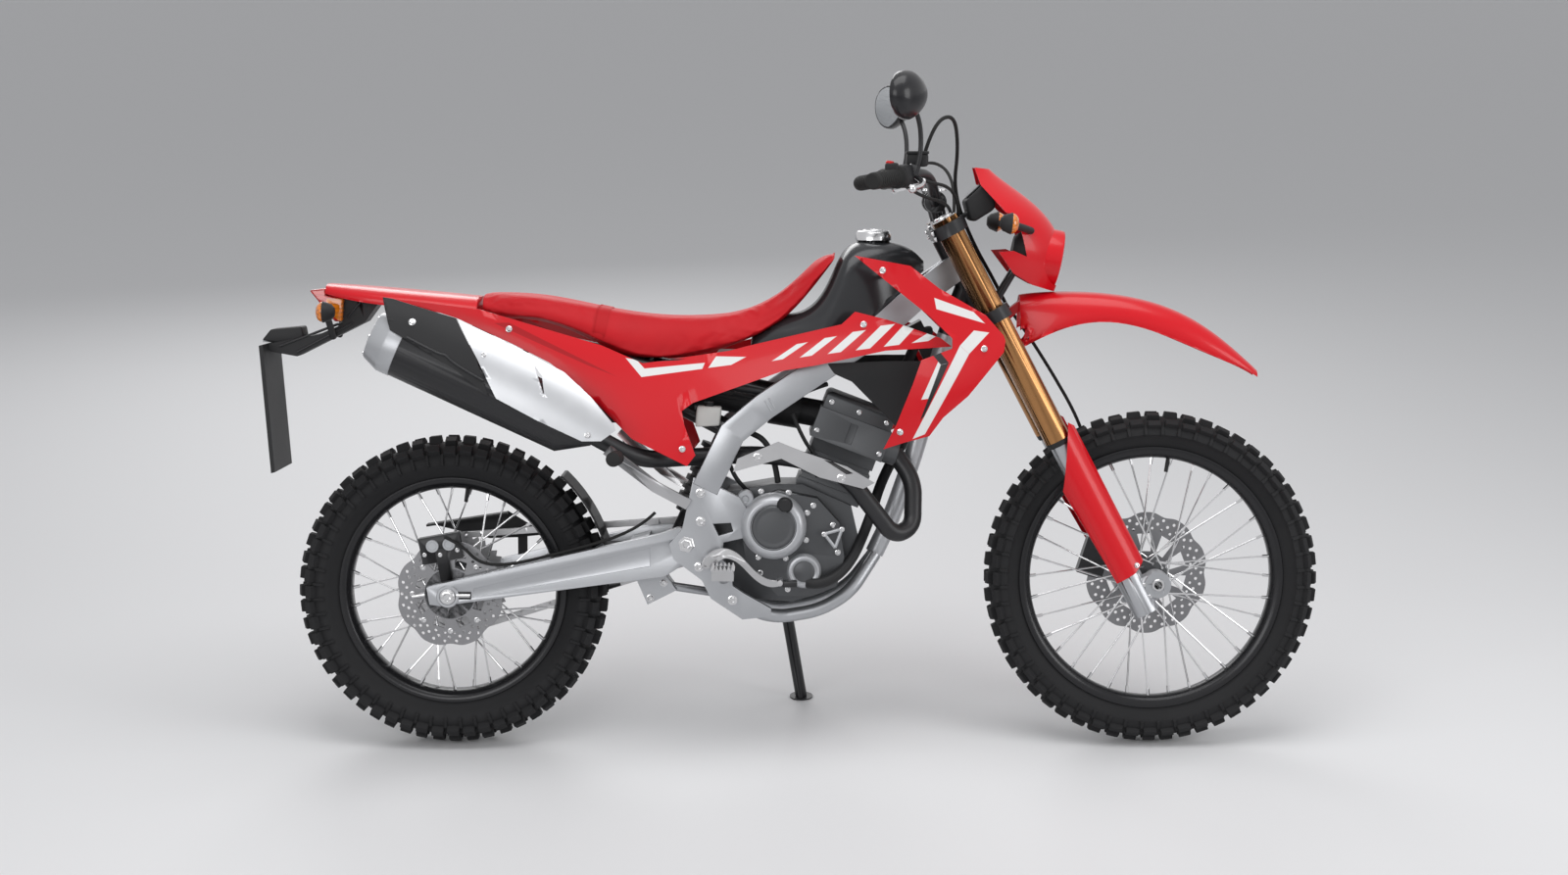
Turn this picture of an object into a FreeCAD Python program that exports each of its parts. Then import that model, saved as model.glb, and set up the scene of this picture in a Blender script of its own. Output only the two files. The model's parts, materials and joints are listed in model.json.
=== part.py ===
"""Dual sport motorcycle, parked on its side stand.

The machine is drawn upright: X forward, Y to the rider's left, Z up, origin on the ground midway
between the axles. The side view is drawn on a grid of stations (along), levels (up) and rows (across),
which follow the wheelbase, the seat height and the body width. Last, every piece leans over together.
"""
import FreeCAD, Part
import math
import os
import Sketcher
from types import SimpleNamespace
from FreeCAD import Placement, Rotation, Vector

# Driving sizes, in millimetres and degrees
SIZES = {
    # Whole machine
    "wheelbase": 1445.0,
    "seat_height": 875.0,
    "body_width": 400.0,
    "rake_angle": 27.6,
    "trail": 113.0,
    "lean_angle": 10.0,
    # Gaps and overruns
    "seat_gap": 0.3,
    "pin_gap": 0.3,
    "side_gap": 1.2,
    "running_gap": 5.0,
    "cut_overrun": 6.0,
    # Front wheel
    "front_tyre_radius": 345.0,
    "front_tyre_width": 84.0,
    "front_lug_height": 10.0,
    "front_lug_length": 34.0,
    "front_bead_radius": 266.5,
    "front_rim_width": 48.0,
    "front_hub_radius": 24.0,
    "front_hub_width": 92.0,
    "front_flange_radius": 36.0,
    "front_flange_offset": 30.0,
    "front_axle_diameter": 22.0,
    "front_axle_bore": 16.0,
    # Rear wheel
    "rear_tyre_radius": 320.0,
    "rear_tyre_width": 116.0,
    "rear_lug_height": 13.0,
    "rear_lug_length": 33.0,
    "rear_bead_radius": 228.5,
    "rear_rim_width": 64.0,
    "rear_hub_radius": 30.0,
    "rear_hub_width": 124.0,
    "rear_flange_radius": 52.0,
    "rear_flange_offset": 38.0,
    "rear_axle_diameter": 20.0,
    # What both wheels share
    "rim_depth": 17.0,
    "rim_flange_height": 7.0,
    "rim_wall": 4.0,
    "hub_flange_thickness": 6.0,
    "spoke_thickness": 3.6,
    "disc_thickness": 4.0,
    "front_disc_radius": 128.0,
    "front_disc_offset": 52.0,
    "rear_disc_radius": 110.0,
    "rear_disc_offset": 74.0,
    "disc_band": 30.0,
    "caliper_length": 84.0,
    "caliper_height": 54.0,
    "caliper_half": 17.0,
    "caliper_rear_half": 13.5,
    "bracket_wall": 6.0,
    # Final drive
    "chain_pitch": 15.875,
    "chain_offset": 76.0,
    "chain_height": 13.0,
    "plate_thickness": 1.6,
    "roller_diameter": 8.0,
    "sprocket_thickness": 5.0,
    "tooth_height": 9.0,
    # Fork and head
    "fork_spread": 200.0,
    "fork_lead": 15.0,
    "outer_tube_diameter": 54.0,
    "inner_tube_diameter": 43.0,
    "stem_diameter": 30.0,
    "head_tube_wall": 8.0,
    "clamp_thickness": 26.0,
    "clamp_collar": 8.0,
    "lower_clamp_height": 998.0,
    "clamp_spacing": 197.0,
    "outer_tube_foot": 714.0,
    "tube_above_clamp": 23.0,
    "guard_foot": 330.0,
    "guard_top": 760.0,
    "guard_inset": 14.6,
    "guard_wall": 4.0,
    "guard_radius": 46.0,
    # Frame
    "down_tube_diameter": 38.0,
    "cradle_tube_diameter": 28.0,
    "subframe_tube_diameter": 22.0,
    "spar_height": 54.0,
    "spar_thickness": 26.0,
    "pivot_bolt_diameter": 24.0,
    # Engine
    "clutch_radius": 64.0,
    "clutch_depth": 36.0,
    "cap_depth": 5.0,
    "cylinder_tilt": 21.0,
    "barrel_length": 136.0,
    "barrel_width": 120.0,
    "barrel_height": 105.0,
    "head_length": 156.0,
    "head_width": 140.0,
    "head_height": 100.0,
    "pump_radius": 33.0,
    "clutch_cap_radius": 43.0,
    "clutch_bevel": 8.0,
    "oil_cap_diameter": 28.0,
    "intake_diameter": 56.0,
    "throttle_diameter": 76.0,
    "rib_depth": 4.0,
    "cover_fillet": 12.0,
    "fin_pitch": 11.0,
    "fin_thickness": 3.0,
    "radiator_height": 190.0,
    "radiator_width": 70.0,
    "radiator_depth": 32.0,
    # Exhaust
    "header_diameter": 36.0,
    "muffler_diameter": 122.0,
    "outlet_diameter": 44.0,
    "shield_wall": 3.0,
    # Rear suspension
    "spring_diameter": 58.0,
    "spring_wire": 10.0,
    "damper_diameter": 44.0,
    "shock_rod_diameter": 22.0,
    "spring_pitch": 19.0,
    "axle_end": 12.0,
    "splash_width": 116.0,
    # Bodywork
    "panel_wall": 3.0,
    "cap_diameter": 66.0,
    "cap_height": 26.0,
    # Handlebar and what it carries
    "bar_diameter": 28.6,
    "bar_end_diameter": 22.2,
    "grip_diameter": 33.0,
    "riser_width": 32.0,
    "grip_length": 118.0,
    "mirror_height": 90.0,
    "mirror_width": 116.0,
    "mirror_depth": 26.0,
    "mirror_stem_diameter": 10.0,
    "hose_diameter": 7.0,
    "perch_length": 34.0,
    "signal_diameter": 44.0,
    "headlamp_diameter": 110.0,
    # Small parts
    "hanger_height": 22.0,
    "hanger_thickness": 14.0,
    "peg_length": 62.0,
    "peg_width": 44.0,
    "lever_diameter": 12.0,
    "stand_tube_diameter": 25.0,
    "stand_pin_diameter": 12.0,
    "stand_tilt": 20.6,
}

# Shares that turn the driving sizes into the drawing grid
STATION_SHARE = 0.0692
LEVEL_SHARE = 0.1143
ROW_SHARE = 0.25

doc = FreeCAD.newDocument("dual_sport_motorcycle")
sheet = doc.addObject("Spreadsheet::Sheet", "Sizes")
for line, (alias, value) in enumerate(SIZES.items(), 1):
    sheet.set(f"A{line}", alias)
    sheet.set(f"B{line}", str(value))
    sheet.setAlias(f"B{line}", alias)
doc.recompute()
s = SimpleNamespace(**{alias: float(sheet.get(alias)) for alias in SIZES})

station = STATION_SHARE * s.wheelbase
level = LEVEL_SHARE * s.seat_height
row = ROW_SHARE * s.body_width
UP = Vector(0, 0, 1)
LEFT = Vector(0, 1, 0)
FRONT = Vector(1, 0, 0)
HERE = Vector(0, 0, 0)
pieces = []


def spot(x, y, z):
    """A point of the drawing grid: stations forward, rows to the left, levels up."""
    return Vector(x * station, y * row, z * level)


front_axle = Vector(s.wheelbase / 2, 0, s.front_tyre_radius)
rear_axle = Vector(-s.wheelbase / 2, 0, s.rear_tyre_radius)
rake = math.radians(s.rake_angle)
head_up = Vector(-math.sin(rake), 0, math.cos(rake))
head_ahead = Vector(math.cos(rake), 0, math.sin(rake))
head_foot = Vector(s.wheelbase / 2 + s.trail, 0, 0)
upper_clamp_height = s.lower_clamp_height + s.clamp_spacing
outer_tube_top = upper_clamp_height + s.tube_above_clamp
axle_along = (front_axle - head_foot).dot(head_up)
axle_ahead = (front_axle - head_foot).dot(head_ahead)


def fork_spot(along, ahead, side):
    """A point near the steering axis: up the axis from the ground, ahead of it, and to the left."""
    return head_foot + head_up * along + head_ahead * ahead + LEFT * side


# Where the steering axis lies on the drawing grid, as shares of a station
AXIS_FOOT_SHARE = 8.355
AXIS_SLOPE_SHARE = 0.5228


def steer_spot(x, y, z):
    """A grid point that keeps its distance from the steering axis."""
    height = z * level
    on_axis = head_foot.x - height * math.tan(rake)
    from_axis = (x - AXIS_FOOT_SHARE + AXIS_SLOPE_SHARE * z) * station
    return Vector(on_axis + from_axis, y * row, height)


def bar_spot(x, y, z):
    """A grid point measured from the upper clamp's middle."""
    return fork_spot(upper_clamp_height, 0, 0) + spot(x, y, z)


def fender_spot(x, y, z):
    """A grid point measured from the lower clamp's middle."""
    return fork_spot(s.lower_clamp_height, 0, 0) + spot(x, y, z)


# Plain shapes
def edge_through(points):
    """A straight edge through two points, or a smooth one through more."""
    if len(points) == 2:
        return Part.LineSegment(points[0], points[1]).toShape()
    curve = Part.BSplineCurve()
    curve.interpolate(points)
    return curve.toShape()


def outline_face(runs, side=0, place=spot):
    """A flat face in side view. Each run is a line or a smooth curve, and ends where the next starts."""
    edges = [edge_through([place(x, side, z) for x, z in run]) for run in runs]
    return Part.Face(Part.Wire(edges))


def slab(runs, start_share, end_share, place=spot):
    """A side-view outline given thickness across the machine, from one row to another."""
    face = outline_face(runs, start_share, place)
    return face.extrude(LEFT * (end_share - start_share) * row)


def polygon(points):
    """The runs of a closed outline with straight sides."""
    return [[a, b] for a, b in zip(points, points[1:] + points[:1])]


def rod(start, end, diameter):
    """A round bar between two points."""
    along = end - start
    return Part.makeCylinder(diameter / 2, along.Length, start, along)


def cross_rod(shares, diameter):
    """A round bar across the machine, from (x, z, from row, to row)."""
    x, z, start, end = shares
    return rod(spot(x, start, z), spot(x, end, z), diameter)


def pipe(start, end, diameter, bore):
    """A round bar with a bore right through."""
    along = (end - start).normalize()
    overrun = along * s.cut_overrun
    return rod(start, end, diameter).cut(rod(start - overrun, end + overrun, bore))


# A bend uses up to this share of the shorter run beside it
BEND_SHARE = 0.45


def bent_path(points, bend=None):
    """Straight runs joined by tangent arcs, each as large as its two runs allow or as asked."""
    edges = []
    start = points[0]
    for before, corner, after in zip(points, points[1:], points[2:]):
        to_corner = (corner - before).normalize()
        from_corner = (after - corner).normalize()
        turn = to_corner.getAngle(from_corner)
        shorter = min((corner - before).Length, (after - corner).Length)
        radius = BEND_SHARE * shorter / math.tan(turn / 2)
        if bend:
            radius = min(radius, bend)
        back = radius * math.tan(turn / 2)
        first = corner - to_corner * back
        last = corner + from_corner * back
        inward = (from_corner - to_corner).normalize()
        middle = corner + inward * (radius / math.cos(turn / 2) - radius)
        edges.append(Part.LineSegment(start, first).toShape())
        edges.append(Part.Arc(first, middle, last).toShape())
        start = last
    edges.append(Part.LineSegment(start, points[-1]).toShape())
    return Part.Wire(edges)


def tube(points, diameter, bend=None):
    """A bent round tube, left solid."""
    section = Part.makeCircle(diameter / 2, points[0], points[1] - points[0])
    return bent_path(points, bend).makePipe(Part.Face(Part.Wire([section])))


def mirrored(shape):
    """The same shape on the other side of the machine."""
    return shape.mirror(HERE, LEFT)


def mirror_point(point):
    """The same point on the other side of the machine."""
    return Vector(point.x, -point.y, point.z)


def pair(shape):
    """A shape and its mirror image, as two solids of one piece."""
    return Part.makeCompound([shape, mirrored(shape)])


def fused(*shapes):
    """Several shapes joined into one solid."""
    return shapes[0].multiFuse(list(shapes[1:])).removeSplitter()


def loft(wires, ruled=False):
    """A solid through closed sections."""
    return Part.makeLoft(wires, True, ruled)


def band_wire(outer, inner):
    """A closed section: a smooth outer line and a smooth inner line, joined at their ends."""
    return Part.Wire([
        edge_through(outer),
        edge_through([outer[-1], inner[-1]]),
        edge_through(inner[::-1]),
        edge_through([inner[0], outer[0]]),
    ])


def skin(sections, wall, place=spot):
    """A thin curved panel on the left side, through sections of (x, [(y, z), ...]) from top to bottom."""
    wires = []
    for x, line_points in sections:
        outer = [place(x, y, z) for y, z in line_points]
        inner = [point - LEFT * wall for point in outer]
        wires.append(band_wire(outer, inner))
    return loft(wires)


def add_piece(name, item, place=Placement()):
    """Name a sub-part. Its place is set when the whole machine leans over."""
    if isinstance(item, Part.Shape):
        shape = item
        item = doc.addObject("Part::Feature", name)
        item.Shape = shape
    item.Label = name
    pieces.append((name, item, place))
    return item


def body_feature(body, kind, name, **values):
    """A feature of a body, with its properties set."""
    feature = body.newObject(kind, name)
    for key, value in values.items():
        setattr(feature, key, value)
    return feature


def body_plane(body, role):
    """One of a body's own origin planes or axes."""
    return next(item for item in body.Origin.OriginFeatures if item.Role == role)


def round_sketch(body, name, radii, offset=None):
    """Concentric circles on the body's XZ plane, each radius bound to the sheet."""
    sketch = body.newObject("Sketcher::SketchObject", name)
    sketch.AttachmentSupport = [(body_plane(body, "XZ_Plane"), "")]
    sketch.MapMode = "FlatFace"
    for number, expression in enumerate(radii):
        sketch.addGeometry(Part.Circle(HERE, UP, number + 1), False)
        sketch.addConstraint(Sketcher.Constraint("Coincident", number, 3, -1, 1))
        place = sketch.addConstraint(Sketcher.Constraint("Radius", number, number + 1))
        sketch.setExpression(f"Constraints[{place}]", expression)
    if offset:
        sketch.setExpression("AttachmentOffset.Base.z", offset)
    return sketch


# Wheels
TYRE_SIDES = 36
SPOKE_COUNT = 36
# How far round a spoke leans from its rim hole to its flange hole, in degrees
SPOKE_LEAN = 62
# A short middle lug beside a long one
SHORT_LUG_SHARE = 0.8
# Carcass section from bead to crown, as shares of the half width and of the wall above the bead
CARCASS_SHARES = [(0.82, 0.25), (0.98, 0.52), (0.86, 0.82), (0.44, 0.98)]
# A middle lug and a shoulder lug in section, as shares of the half width and of the tyre's height
MIDDLE_LUG_SHARES = [(-0.4, 0.76), (0.4, 0.76), (0.36, 1.0), (-0.36, 1.0)]
SHOULDER_LUG_SHARES = [(0.4, 0.74), (0.62, 0.5), (1.0, 0.8), (0.66, 0.96), (0.48, 0.98)]


def turned(point, angle):
    """A point (across, outward) of a wheel's section, turned about the axle to an angle in degrees."""
    across, outward = point
    return Vector(outward * math.sin(math.radians(angle)), across, outward * math.cos(math.radians(angle)))


def faceted_ring(section, sides):
    """A ring about the Y axis with flat facets, closed from its section."""
    faces = []
    step = 360 / sides
    for number in range(sides):
        for first, second in zip(section, section[1:] + section[:1]):
            corners = [
                turned(first, number * step),
                turned(second, number * step),
                turned(second, (number + 1) * step),
                turned(first, (number + 1) * step),
            ]
            faces.append(Part.Face(Part.makePolygon(corners + corners[:1])))
    return Part.makeSolid(Part.makeShell(faces))


def lug(section, angle, length):
    """A tread block: a section in the wheel's radial plane, as long as its share of the tread."""
    corners = [turned(point, angle) for point in section]
    face = Part.Face(Part.makePolygon(corners + corners[:1]))
    along = turned((0, 1), angle + 90)
    face.translate(-along * length / 2)
    return face.extrude(along * length)


def knobbly_tyre(radius, width, lug_height, lug_length, bead, rim_width):
    """A tyre with block tread, its tips on the stated radius."""
    tips = math.sqrt(radius ** 2 - (lug_length / 2) ** 2)
    crown = tips - lug_height
    bead_half = rim_width / 2 - s.rim_wall - s.seat_gap
    corner_stretch = 1 / math.cos(math.pi / TYRE_SIDES)
    wall_start = (bead + s.rim_flange_height + s.side_gap) * corner_stretch
    bead = (bead + s.seat_gap) * corner_stretch
    half = [(bead_half, bead), (bead_half, wall_start)]
    half += [(across * width / 2, bead + up * (crown - bead)) for across, up in CARCASS_SHARES]
    section = half + [(-across, outward) for across, outward in half[::-1]]
    carcass = faceted_ring(section, TYRE_SIDES)
    step = 360 / TYRE_SIDES
    height = tips - bead
    lugs = []
    for number in range(TYRE_SIDES):
        angle = (number + 0.5) * step
        middle = [(a * width / 2, bead + u * height) for a, u in MIDDLE_LUG_SHARES]
        lugs.append(lug(middle, angle, lug_length if number % 2 else SHORT_LUG_SHARE * lug_length))
        side = 1 if number % 2 else -1
        shoulder = [(side * a * width / 2, bead + u * height) for a, u in SHOULDER_LUG_SHARES]
        lugs.append(lug(shoulder, angle, lug_length))
    return carcass.multiFuse(lugs)


def spoked_wheel(bead, rim_width, hub_radius, hub_width, flange_radius, flange_offset, bore, seats):
    """Rim, laced spokes and bored hub, with (side, reach, radius) seats for disc and sprocket."""
    half = rim_width / 2
    section = [
        (half, bead + s.rim_flange_height),
        (half - s.rim_wall, bead + s.rim_flange_height),
        (half - s.rim_wall, bead),
        (s.rim_wall - half, bead),
        (s.rim_wall - half, bead + s.rim_flange_height),
        (-half, bead + s.rim_flange_height),
        (-half, bead - s.rim_wall),
        (-half / 2, bead - s.rim_depth),
        (half / 2, bead - s.rim_depth),
        (half, bead - s.rim_wall),
    ]
    corners = [Vector(0, across, outward) for across, outward in section]
    rim = Part.Face(Part.makePolygon(corners + corners[:1])).revolve(HERE, LEFT, 360)
    shapes = []
    for number in range(SPOKE_COUNT):
        side = 1 if number % 2 else -1
        lean = 1 if (number // 2) % 2 else -1
        rim_angle = number * 360 / SPOKE_COUNT
        hole = (side * flange_offset, flange_radius - s.hub_flange_thickness)
        start = turned(hole, rim_angle + lean * SPOKE_LEAN)
        start += LEFT * side * lean * s.spoke_thickness
        end = turned((side * half / 4, bead - s.rim_depth + s.rim_wall / 2), rim_angle)
        shapes.append(square_bar(start, end, s.spoke_thickness))
    hub = Part.makeCylinder(hub_radius, hub_width, -LEFT * hub_width / 2, LEFT)
    for side in (-1, 1):
        inner = LEFT * side * (flange_offset - s.hub_flange_thickness / 2)
        shapes.append(Part.makeCylinder(flange_radius, s.hub_flange_thickness, inner, LEFT * side))
    for side, far, radius in seats:
        shapes.append(Part.makeCylinder(radius, far - flange_offset, LEFT * side * flange_offset, LEFT * side))
    wheel = hub.multiFuse(shapes + [rim])
    reach = hub_width + s.cut_overrun
    return wheel.cut(Part.makeCylinder(bore / 2, 2 * reach, -LEFT * reach, LEFT))


def square_bar(start, end, thickness):
    """A slim bar with four flat sides between two points."""
    along = end - start
    side = along.cross(LEFT).normalize() * thickness / 2
    lift = along.cross(side).normalize() * thickness / 2
    corners = [start + side + lift, start + side - lift, start - side - lift, start - side + lift]
    return Part.Face(Part.makePolygon(corners + corners[:1])).extrude(along)


# Windows of a disc, as shares of its radius, and how many there are
DISC_WINDOW_SHARES = [(-0.08, 0.84), (0.0, 0.8), (0.1, 0.93), (0.02, 0.95)]
DISC_SLOT_SHARES = [(-0.14, 0.5), (0.14, 0.5), (0.18, 0.7), (-0.18, 0.7)]
DISC_WINDOWS = 12
DISC_SLOTS = 6


def polygon_sketch(body, name, corners):
    """A closed polygon on the body's XZ plane."""
    sketch = body.newObject("Sketcher::SketchObject", name)
    sketch.AttachmentSupport = [(body_plane(body, "XZ_Plane"), "")]
    sketch.MapMode = "FlatFace"
    for first, second in zip(corners, corners[1:] + corners[:1]):
        sketch.addGeometry(Part.LineSegment(Vector(*first, 0), Vector(*second, 0)), False)
    return sketch


def brake_disc(name, radius_name, bore_name):
    """A ventilated disc: a bored ring with two rows of windows round it."""
    body = doc.addObject("PartDesign::Body", name)
    ring = round_sketch(body, name + "_ring", [f"Sizes.{radius_name}", f"Sizes.{bore_name}"])
    pad = body_feature(body, "PartDesign::Pad", name + "_pad", Profile=ring, Midplane=True)
    pad.setExpression("Length", "Sizes.disc_thickness")
    doc.recompute()
    radius = getattr(s, radius_name)
    rows = (("windows", DISC_WINDOW_SHARES, DISC_WINDOWS), ("slots", DISC_SLOT_SHARES, DISC_SLOTS))
    for row_name, shares, count in rows:
        corners = [(a * radius, b * radius) for a, b in shares]
        label = f"{name}_{row_name}"
        cut = polygon_sketch(body, label, corners)
        pocket = body_feature(body, "PartDesign::Pocket", label + "_cut", Profile=cut, Midplane=True, Type=1)
        doc.recompute()
        pattern = body_feature(body, "PartDesign::PolarPattern", label + "_round", Originals=[pocket])
        pattern.Axis = (body_plane(body, "Y_Axis"), [""])
        pattern.Angle = 360
        pattern.Occurrences = count
        body.Tip = pattern
        doc.recompute()
    return body


# Final drive
SPROCKET_SPOT_SHARES = (-1.65, 0, 4.25)
front_sprocket_centre = spot(*SPROCKET_SPOT_SHARES)
REAR_TEETH = 40
FRONT_TEETH = 14
# Half an outer plate, as a share of the chain's height
PLATE_SHARE = 0.42


def pitch_radius(teeth):
    """The radius of the chain's pins on a sprocket."""
    return s.chain_pitch / 2 / math.sin(math.pi / teeth)


def sprocket(teeth, thickness, bore):
    """A toothed wheel about the Y axis, its teeth pointed."""
    middle = pitch_radius(teeth)
    tip = middle + s.tooth_height / 2
    root = middle - s.tooth_height / 2
    corners = []
    for number in range(teeth):
        corners.append(turned((0, root), number * 360 / teeth))
        corners.append(turned((0, tip), (number + 0.5) * 360 / teeth))
    face = Part.Face(Part.makePolygon(corners + corners[:1]))
    face.translate(-LEFT * thickness / 2)
    disc = face.extrude(LEFT * thickness)
    return disc.cut(Part.makeCylinder(bore / 2, 3 * thickness, -LEFT * thickness * 3 / 2, LEFT))


def chain_loop():
    """Centre and radius of both wraps, the angle of the runs, and the length of the loop."""
    gap = front_sprocket_centre - rear_axle
    rear, front = pitch_radius(REAR_TEETH), pitch_radius(FRONT_TEETH)
    reach = math.hypot(gap.x, gap.z)
    slope = math.atan2(gap.z, gap.x)
    spread = math.asin((rear - front) / reach)
    return rear, front, reach, slope, spread


def radial(angle):
    """A unit vector in side view, at an angle up from the front."""
    return Vector(math.cos(angle), 0, math.sin(angle))


def chain_point(distance):
    """A point of the pitch line and its direction, at a distance round the loop from the top run's start."""
    rear, front, reach, slope, spread = chain_loop()
    run = reach * math.cos(spread)
    front_wrap = front * (math.pi - 2 * spread)
    rear_wrap = rear * (math.pi + 2 * spread)
    distance = distance % (2 * run + front_wrap + rear_wrap)
    top = slope + math.pi / 2 - spread
    below = slope - math.pi / 2 + spread
    if distance < run:
        along = radial(top - math.pi / 2)
        return rear_axle + radial(top) * rear + along * distance, along
    distance -= run
    if distance < front_wrap:
        angle = top - distance / front
        return front_sprocket_centre + radial(angle) * front, radial(angle - math.pi / 2)
    distance -= front_wrap
    if distance < run:
        along = radial(below - math.pi / 2)
        return front_sprocket_centre + radial(below) * front + along * distance, along
    distance -= run
    angle = below - distance / rear
    return rear_axle + radial(angle) * rear, radial(angle - math.pi / 2)


def loop_wire(grow, side):
    """The closed line of the chain, moved outward from its pitch line."""
    rear, front, reach, slope, spread = chain_loop()
    top = slope + math.pi / 2 - spread
    below = slope - math.pi / 2 + spread
    lift = LEFT * side
    at_rear, at_front = rear_axle + lift, front_sprocket_centre + lift
    on_rear = [at_rear + radial(angle) * (rear + grow) for angle in (top, slope + math.pi, below)]
    on_front = [at_front + radial(angle) * (front + grow) for angle in (top, slope, below)]
    return Part.Wire([
        Part.LineSegment(on_rear[0], on_front[0]).toShape(),
        Part.Arc(*on_front).toShape(),
        Part.LineSegment(on_front[2], on_rear[2]).toShape(),
        Part.Arc(*on_rear[::-1]).toShape(),
    ])


def drive_chain():
    """One closed loop: inner plates as bands, outer plates on every second link, rollers on the runs."""
    rear, front, reach, slope, spread = chain_loop()
    run = reach * math.cos(spread)
    front_wrap = front * (math.pi - 2 * spread)
    loop = 2 * run + front_wrap + rear * (math.pi + 2 * spread)
    links = 2 * round(loop / s.chain_pitch / 2)
    pitch = loop / links
    inner_half = s.sprocket_thickness / 2 + s.side_gap
    shapes = []
    for side in (-1, 1):
        inner = s.chain_offset + side * inner_half
        whole = Part.Face(loop_wire(s.chain_height / 2, inner))
        band = whole.cut(Part.Face(loop_wire(-s.chain_height / 2, inner)))
        shapes.append(band.extrude(LEFT * side * s.plate_thickness))
        for number in range(0, links, 2):
            start, _ = chain_point(number * pitch)
            end, _ = chain_point((number + 1) * pitch)
            along = (end - start).normalize()
            rise = LEFT.cross(along) * s.chain_height * PLATE_SHARE
            reach_out = along * s.chain_height * PLATE_SHARE
            lift = LEFT * (inner + side * s.plate_thickness)
            corners = [
                start - reach_out - rise + lift,
                end + reach_out - rise + lift,
                end + reach_out + rise + lift,
                start - reach_out + rise + lift,
            ]
            plate = Part.Face(Part.makePolygon(corners + corners[:1]))
            shapes.append(plate.extrude(LEFT * side * s.plate_thickness))
    span = LEFT * 2 * (inner_half + s.plate_thickness / 2)
    for number in range(links):
        distance = number * pitch
        on_top = 3 * s.chain_pitch < distance < run - s.chain_pitch
        low = distance - run - front_wrap
        if on_top or s.chain_pitch < low < run - 3 * s.chain_pitch:
            centre, along = chain_point(distance)
            centre += LEFT * s.chain_offset - span / 2
            rise = LEFT.cross(along) * s.roller_diameter / 2
            half = along * s.roller_diameter / 2
            corners = [centre - half, centre + rise, centre + half, centre - rise]
            shapes.append(Part.Face(Part.makePolygon(corners + corners[:1])).extrude(span))
    return shapes[0].multiFuse(shapes[1:])


# Frame
def beam(centres, height, thickness):
    """A cast beam through centres, its section upright to its run."""
    wires = []
    for number, centre in enumerate(centres):
        before = centres[max(number - 1, 0)]
        after = centres[min(number + 1, len(centres) - 1)]
        along = Vector(after.x - before.x, 0, after.z - before.z).normalize()
        rise = Vector(-along.z, 0, along.x) * height / 2
        half = LEFT * thickness / 2
        corners = [centre + rise + half, centre + rise - half, centre - rise - half, centre - rise + half]
        wires.append(Part.makePolygon(corners + corners[:1]))
    return loft(wires, True)


# Where the down tube and the spars meet the head tube, as shares of the way up between the clamps
DOWN_TUBE_HEAD_SHARE = 0.4
SPAR_HEAD_SHARE = 0.6
SPAR_HEAD_SIDE_SHARE = 0.28
SPAR_SHARES = [
    (-1.97, 1.2, 5.42), (-1.42, 1.18, 6.55), (-0.78, 1.12, 7.08), (0.18, 1.02, 7.72),
    (1.6, 0.72, 8.65), (2.35, 0.36, 9.3),
]
DOWN_TUBE_SHARES = [(2.93, 0, 8.4), (2.37, 0, 6.15), (1.84, 0, 4.66), (1.5, 0, 3.95)]
CRADLE_SHARES = [
    (1.5, 0.12, 3.93), (0.99, 0.5, 3.2), (0.36, 0.62, 2.84), (-0.61, 0.62, 2.68), (-1.28, 0.98, 3.03),
]
PIVOT_PLATE_SHARES = [
    (-2.2, 5.66), (-1.74, 5.48), (-1.28, 5.25), (-1.12, 5.0), (-1.2, 4.75), (-1.18, 4.43), (-1.6, 4.34),
    (-1.64, 4.0), (-1.44, 3.8), (-1.42, 3.45), (-1.2, 3.3), (-0.64, 2.98), (-0.64, 2.82), (-1.22, 2.76),
    (-1.86, 3.19), (-2.04, 3.56), (-2.62, 4.0), (-2.7, 4.3), (-2.44, 4.6),
]
PLATE_WINDOW_SHARES = [(-1.82, 4.72), (-1.45, 4.74), (-1.4, 4.56), (-1.7, 4.47)]
PIVOT_PLATE_SIDE_SHARES = (1.14, 1.32)
CLUTCH_SHARES = (-0.59, 0, 4.66)
PUMP_SHARES = (0.03, 0, 3.73)
STRUT_CROSS_SHARE = 1.0
RAIL_SHARES = [(-0.5, 0.84, 7.3), (-3.2, 0.84, 7.904), (-6.6, 0.7, 8.682)]
STRUT_SHARES = [(-1.62, 0.84, 6.55), (-4.9, 0.8, 8.24)]
swing_pivot = spot(-2.35, 0, 4.3)


def head_tube_core():
    """The head tube without its bore."""
    low = s.lower_clamp_height + s.clamp_thickness / 2 + s.side_gap
    high = upper_clamp_height - s.clamp_thickness / 2 - s.side_gap
    outer = s.stem_diameter + 2 * s.pin_gap + 2 * s.head_tube_wall
    return rod(fork_spot(low, 0, 0), fork_spot(high, 0, 0), outer)


def frame_head():
    """Head tube and single down tube, with the stem's bore cut through."""
    top = fork_spot(s.lower_clamp_height + DOWN_TUBE_HEAD_SHARE * s.clamp_spacing, 0, 0)
    down = tube([top] + [spot(*p) for p in DOWN_TUBE_SHARES], s.down_tube_diameter)
    reach = s.cut_overrun
    bore = rod(
        fork_spot(s.lower_clamp_height - reach, 0, 0),
        fork_spot(upper_clamp_height + reach, 0, 0),
        s.stem_diameter + 2 * s.pin_gap,
    )
    return fused(head_tube_core(), down).cut(bore)


def frame_spar():
    """The left cast spar, from the head to the pivot plate."""
    height = s.lower_clamp_height + SPAR_HEAD_SHARE * s.clamp_spacing
    centres = [spot(*p) for p in SPAR_SHARES] + [fork_spot(height, 0, SPAR_HEAD_SIDE_SHARE * row)]
    return beam(centres, s.spar_height, s.spar_thickness).cut(head_tube_core())


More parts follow.
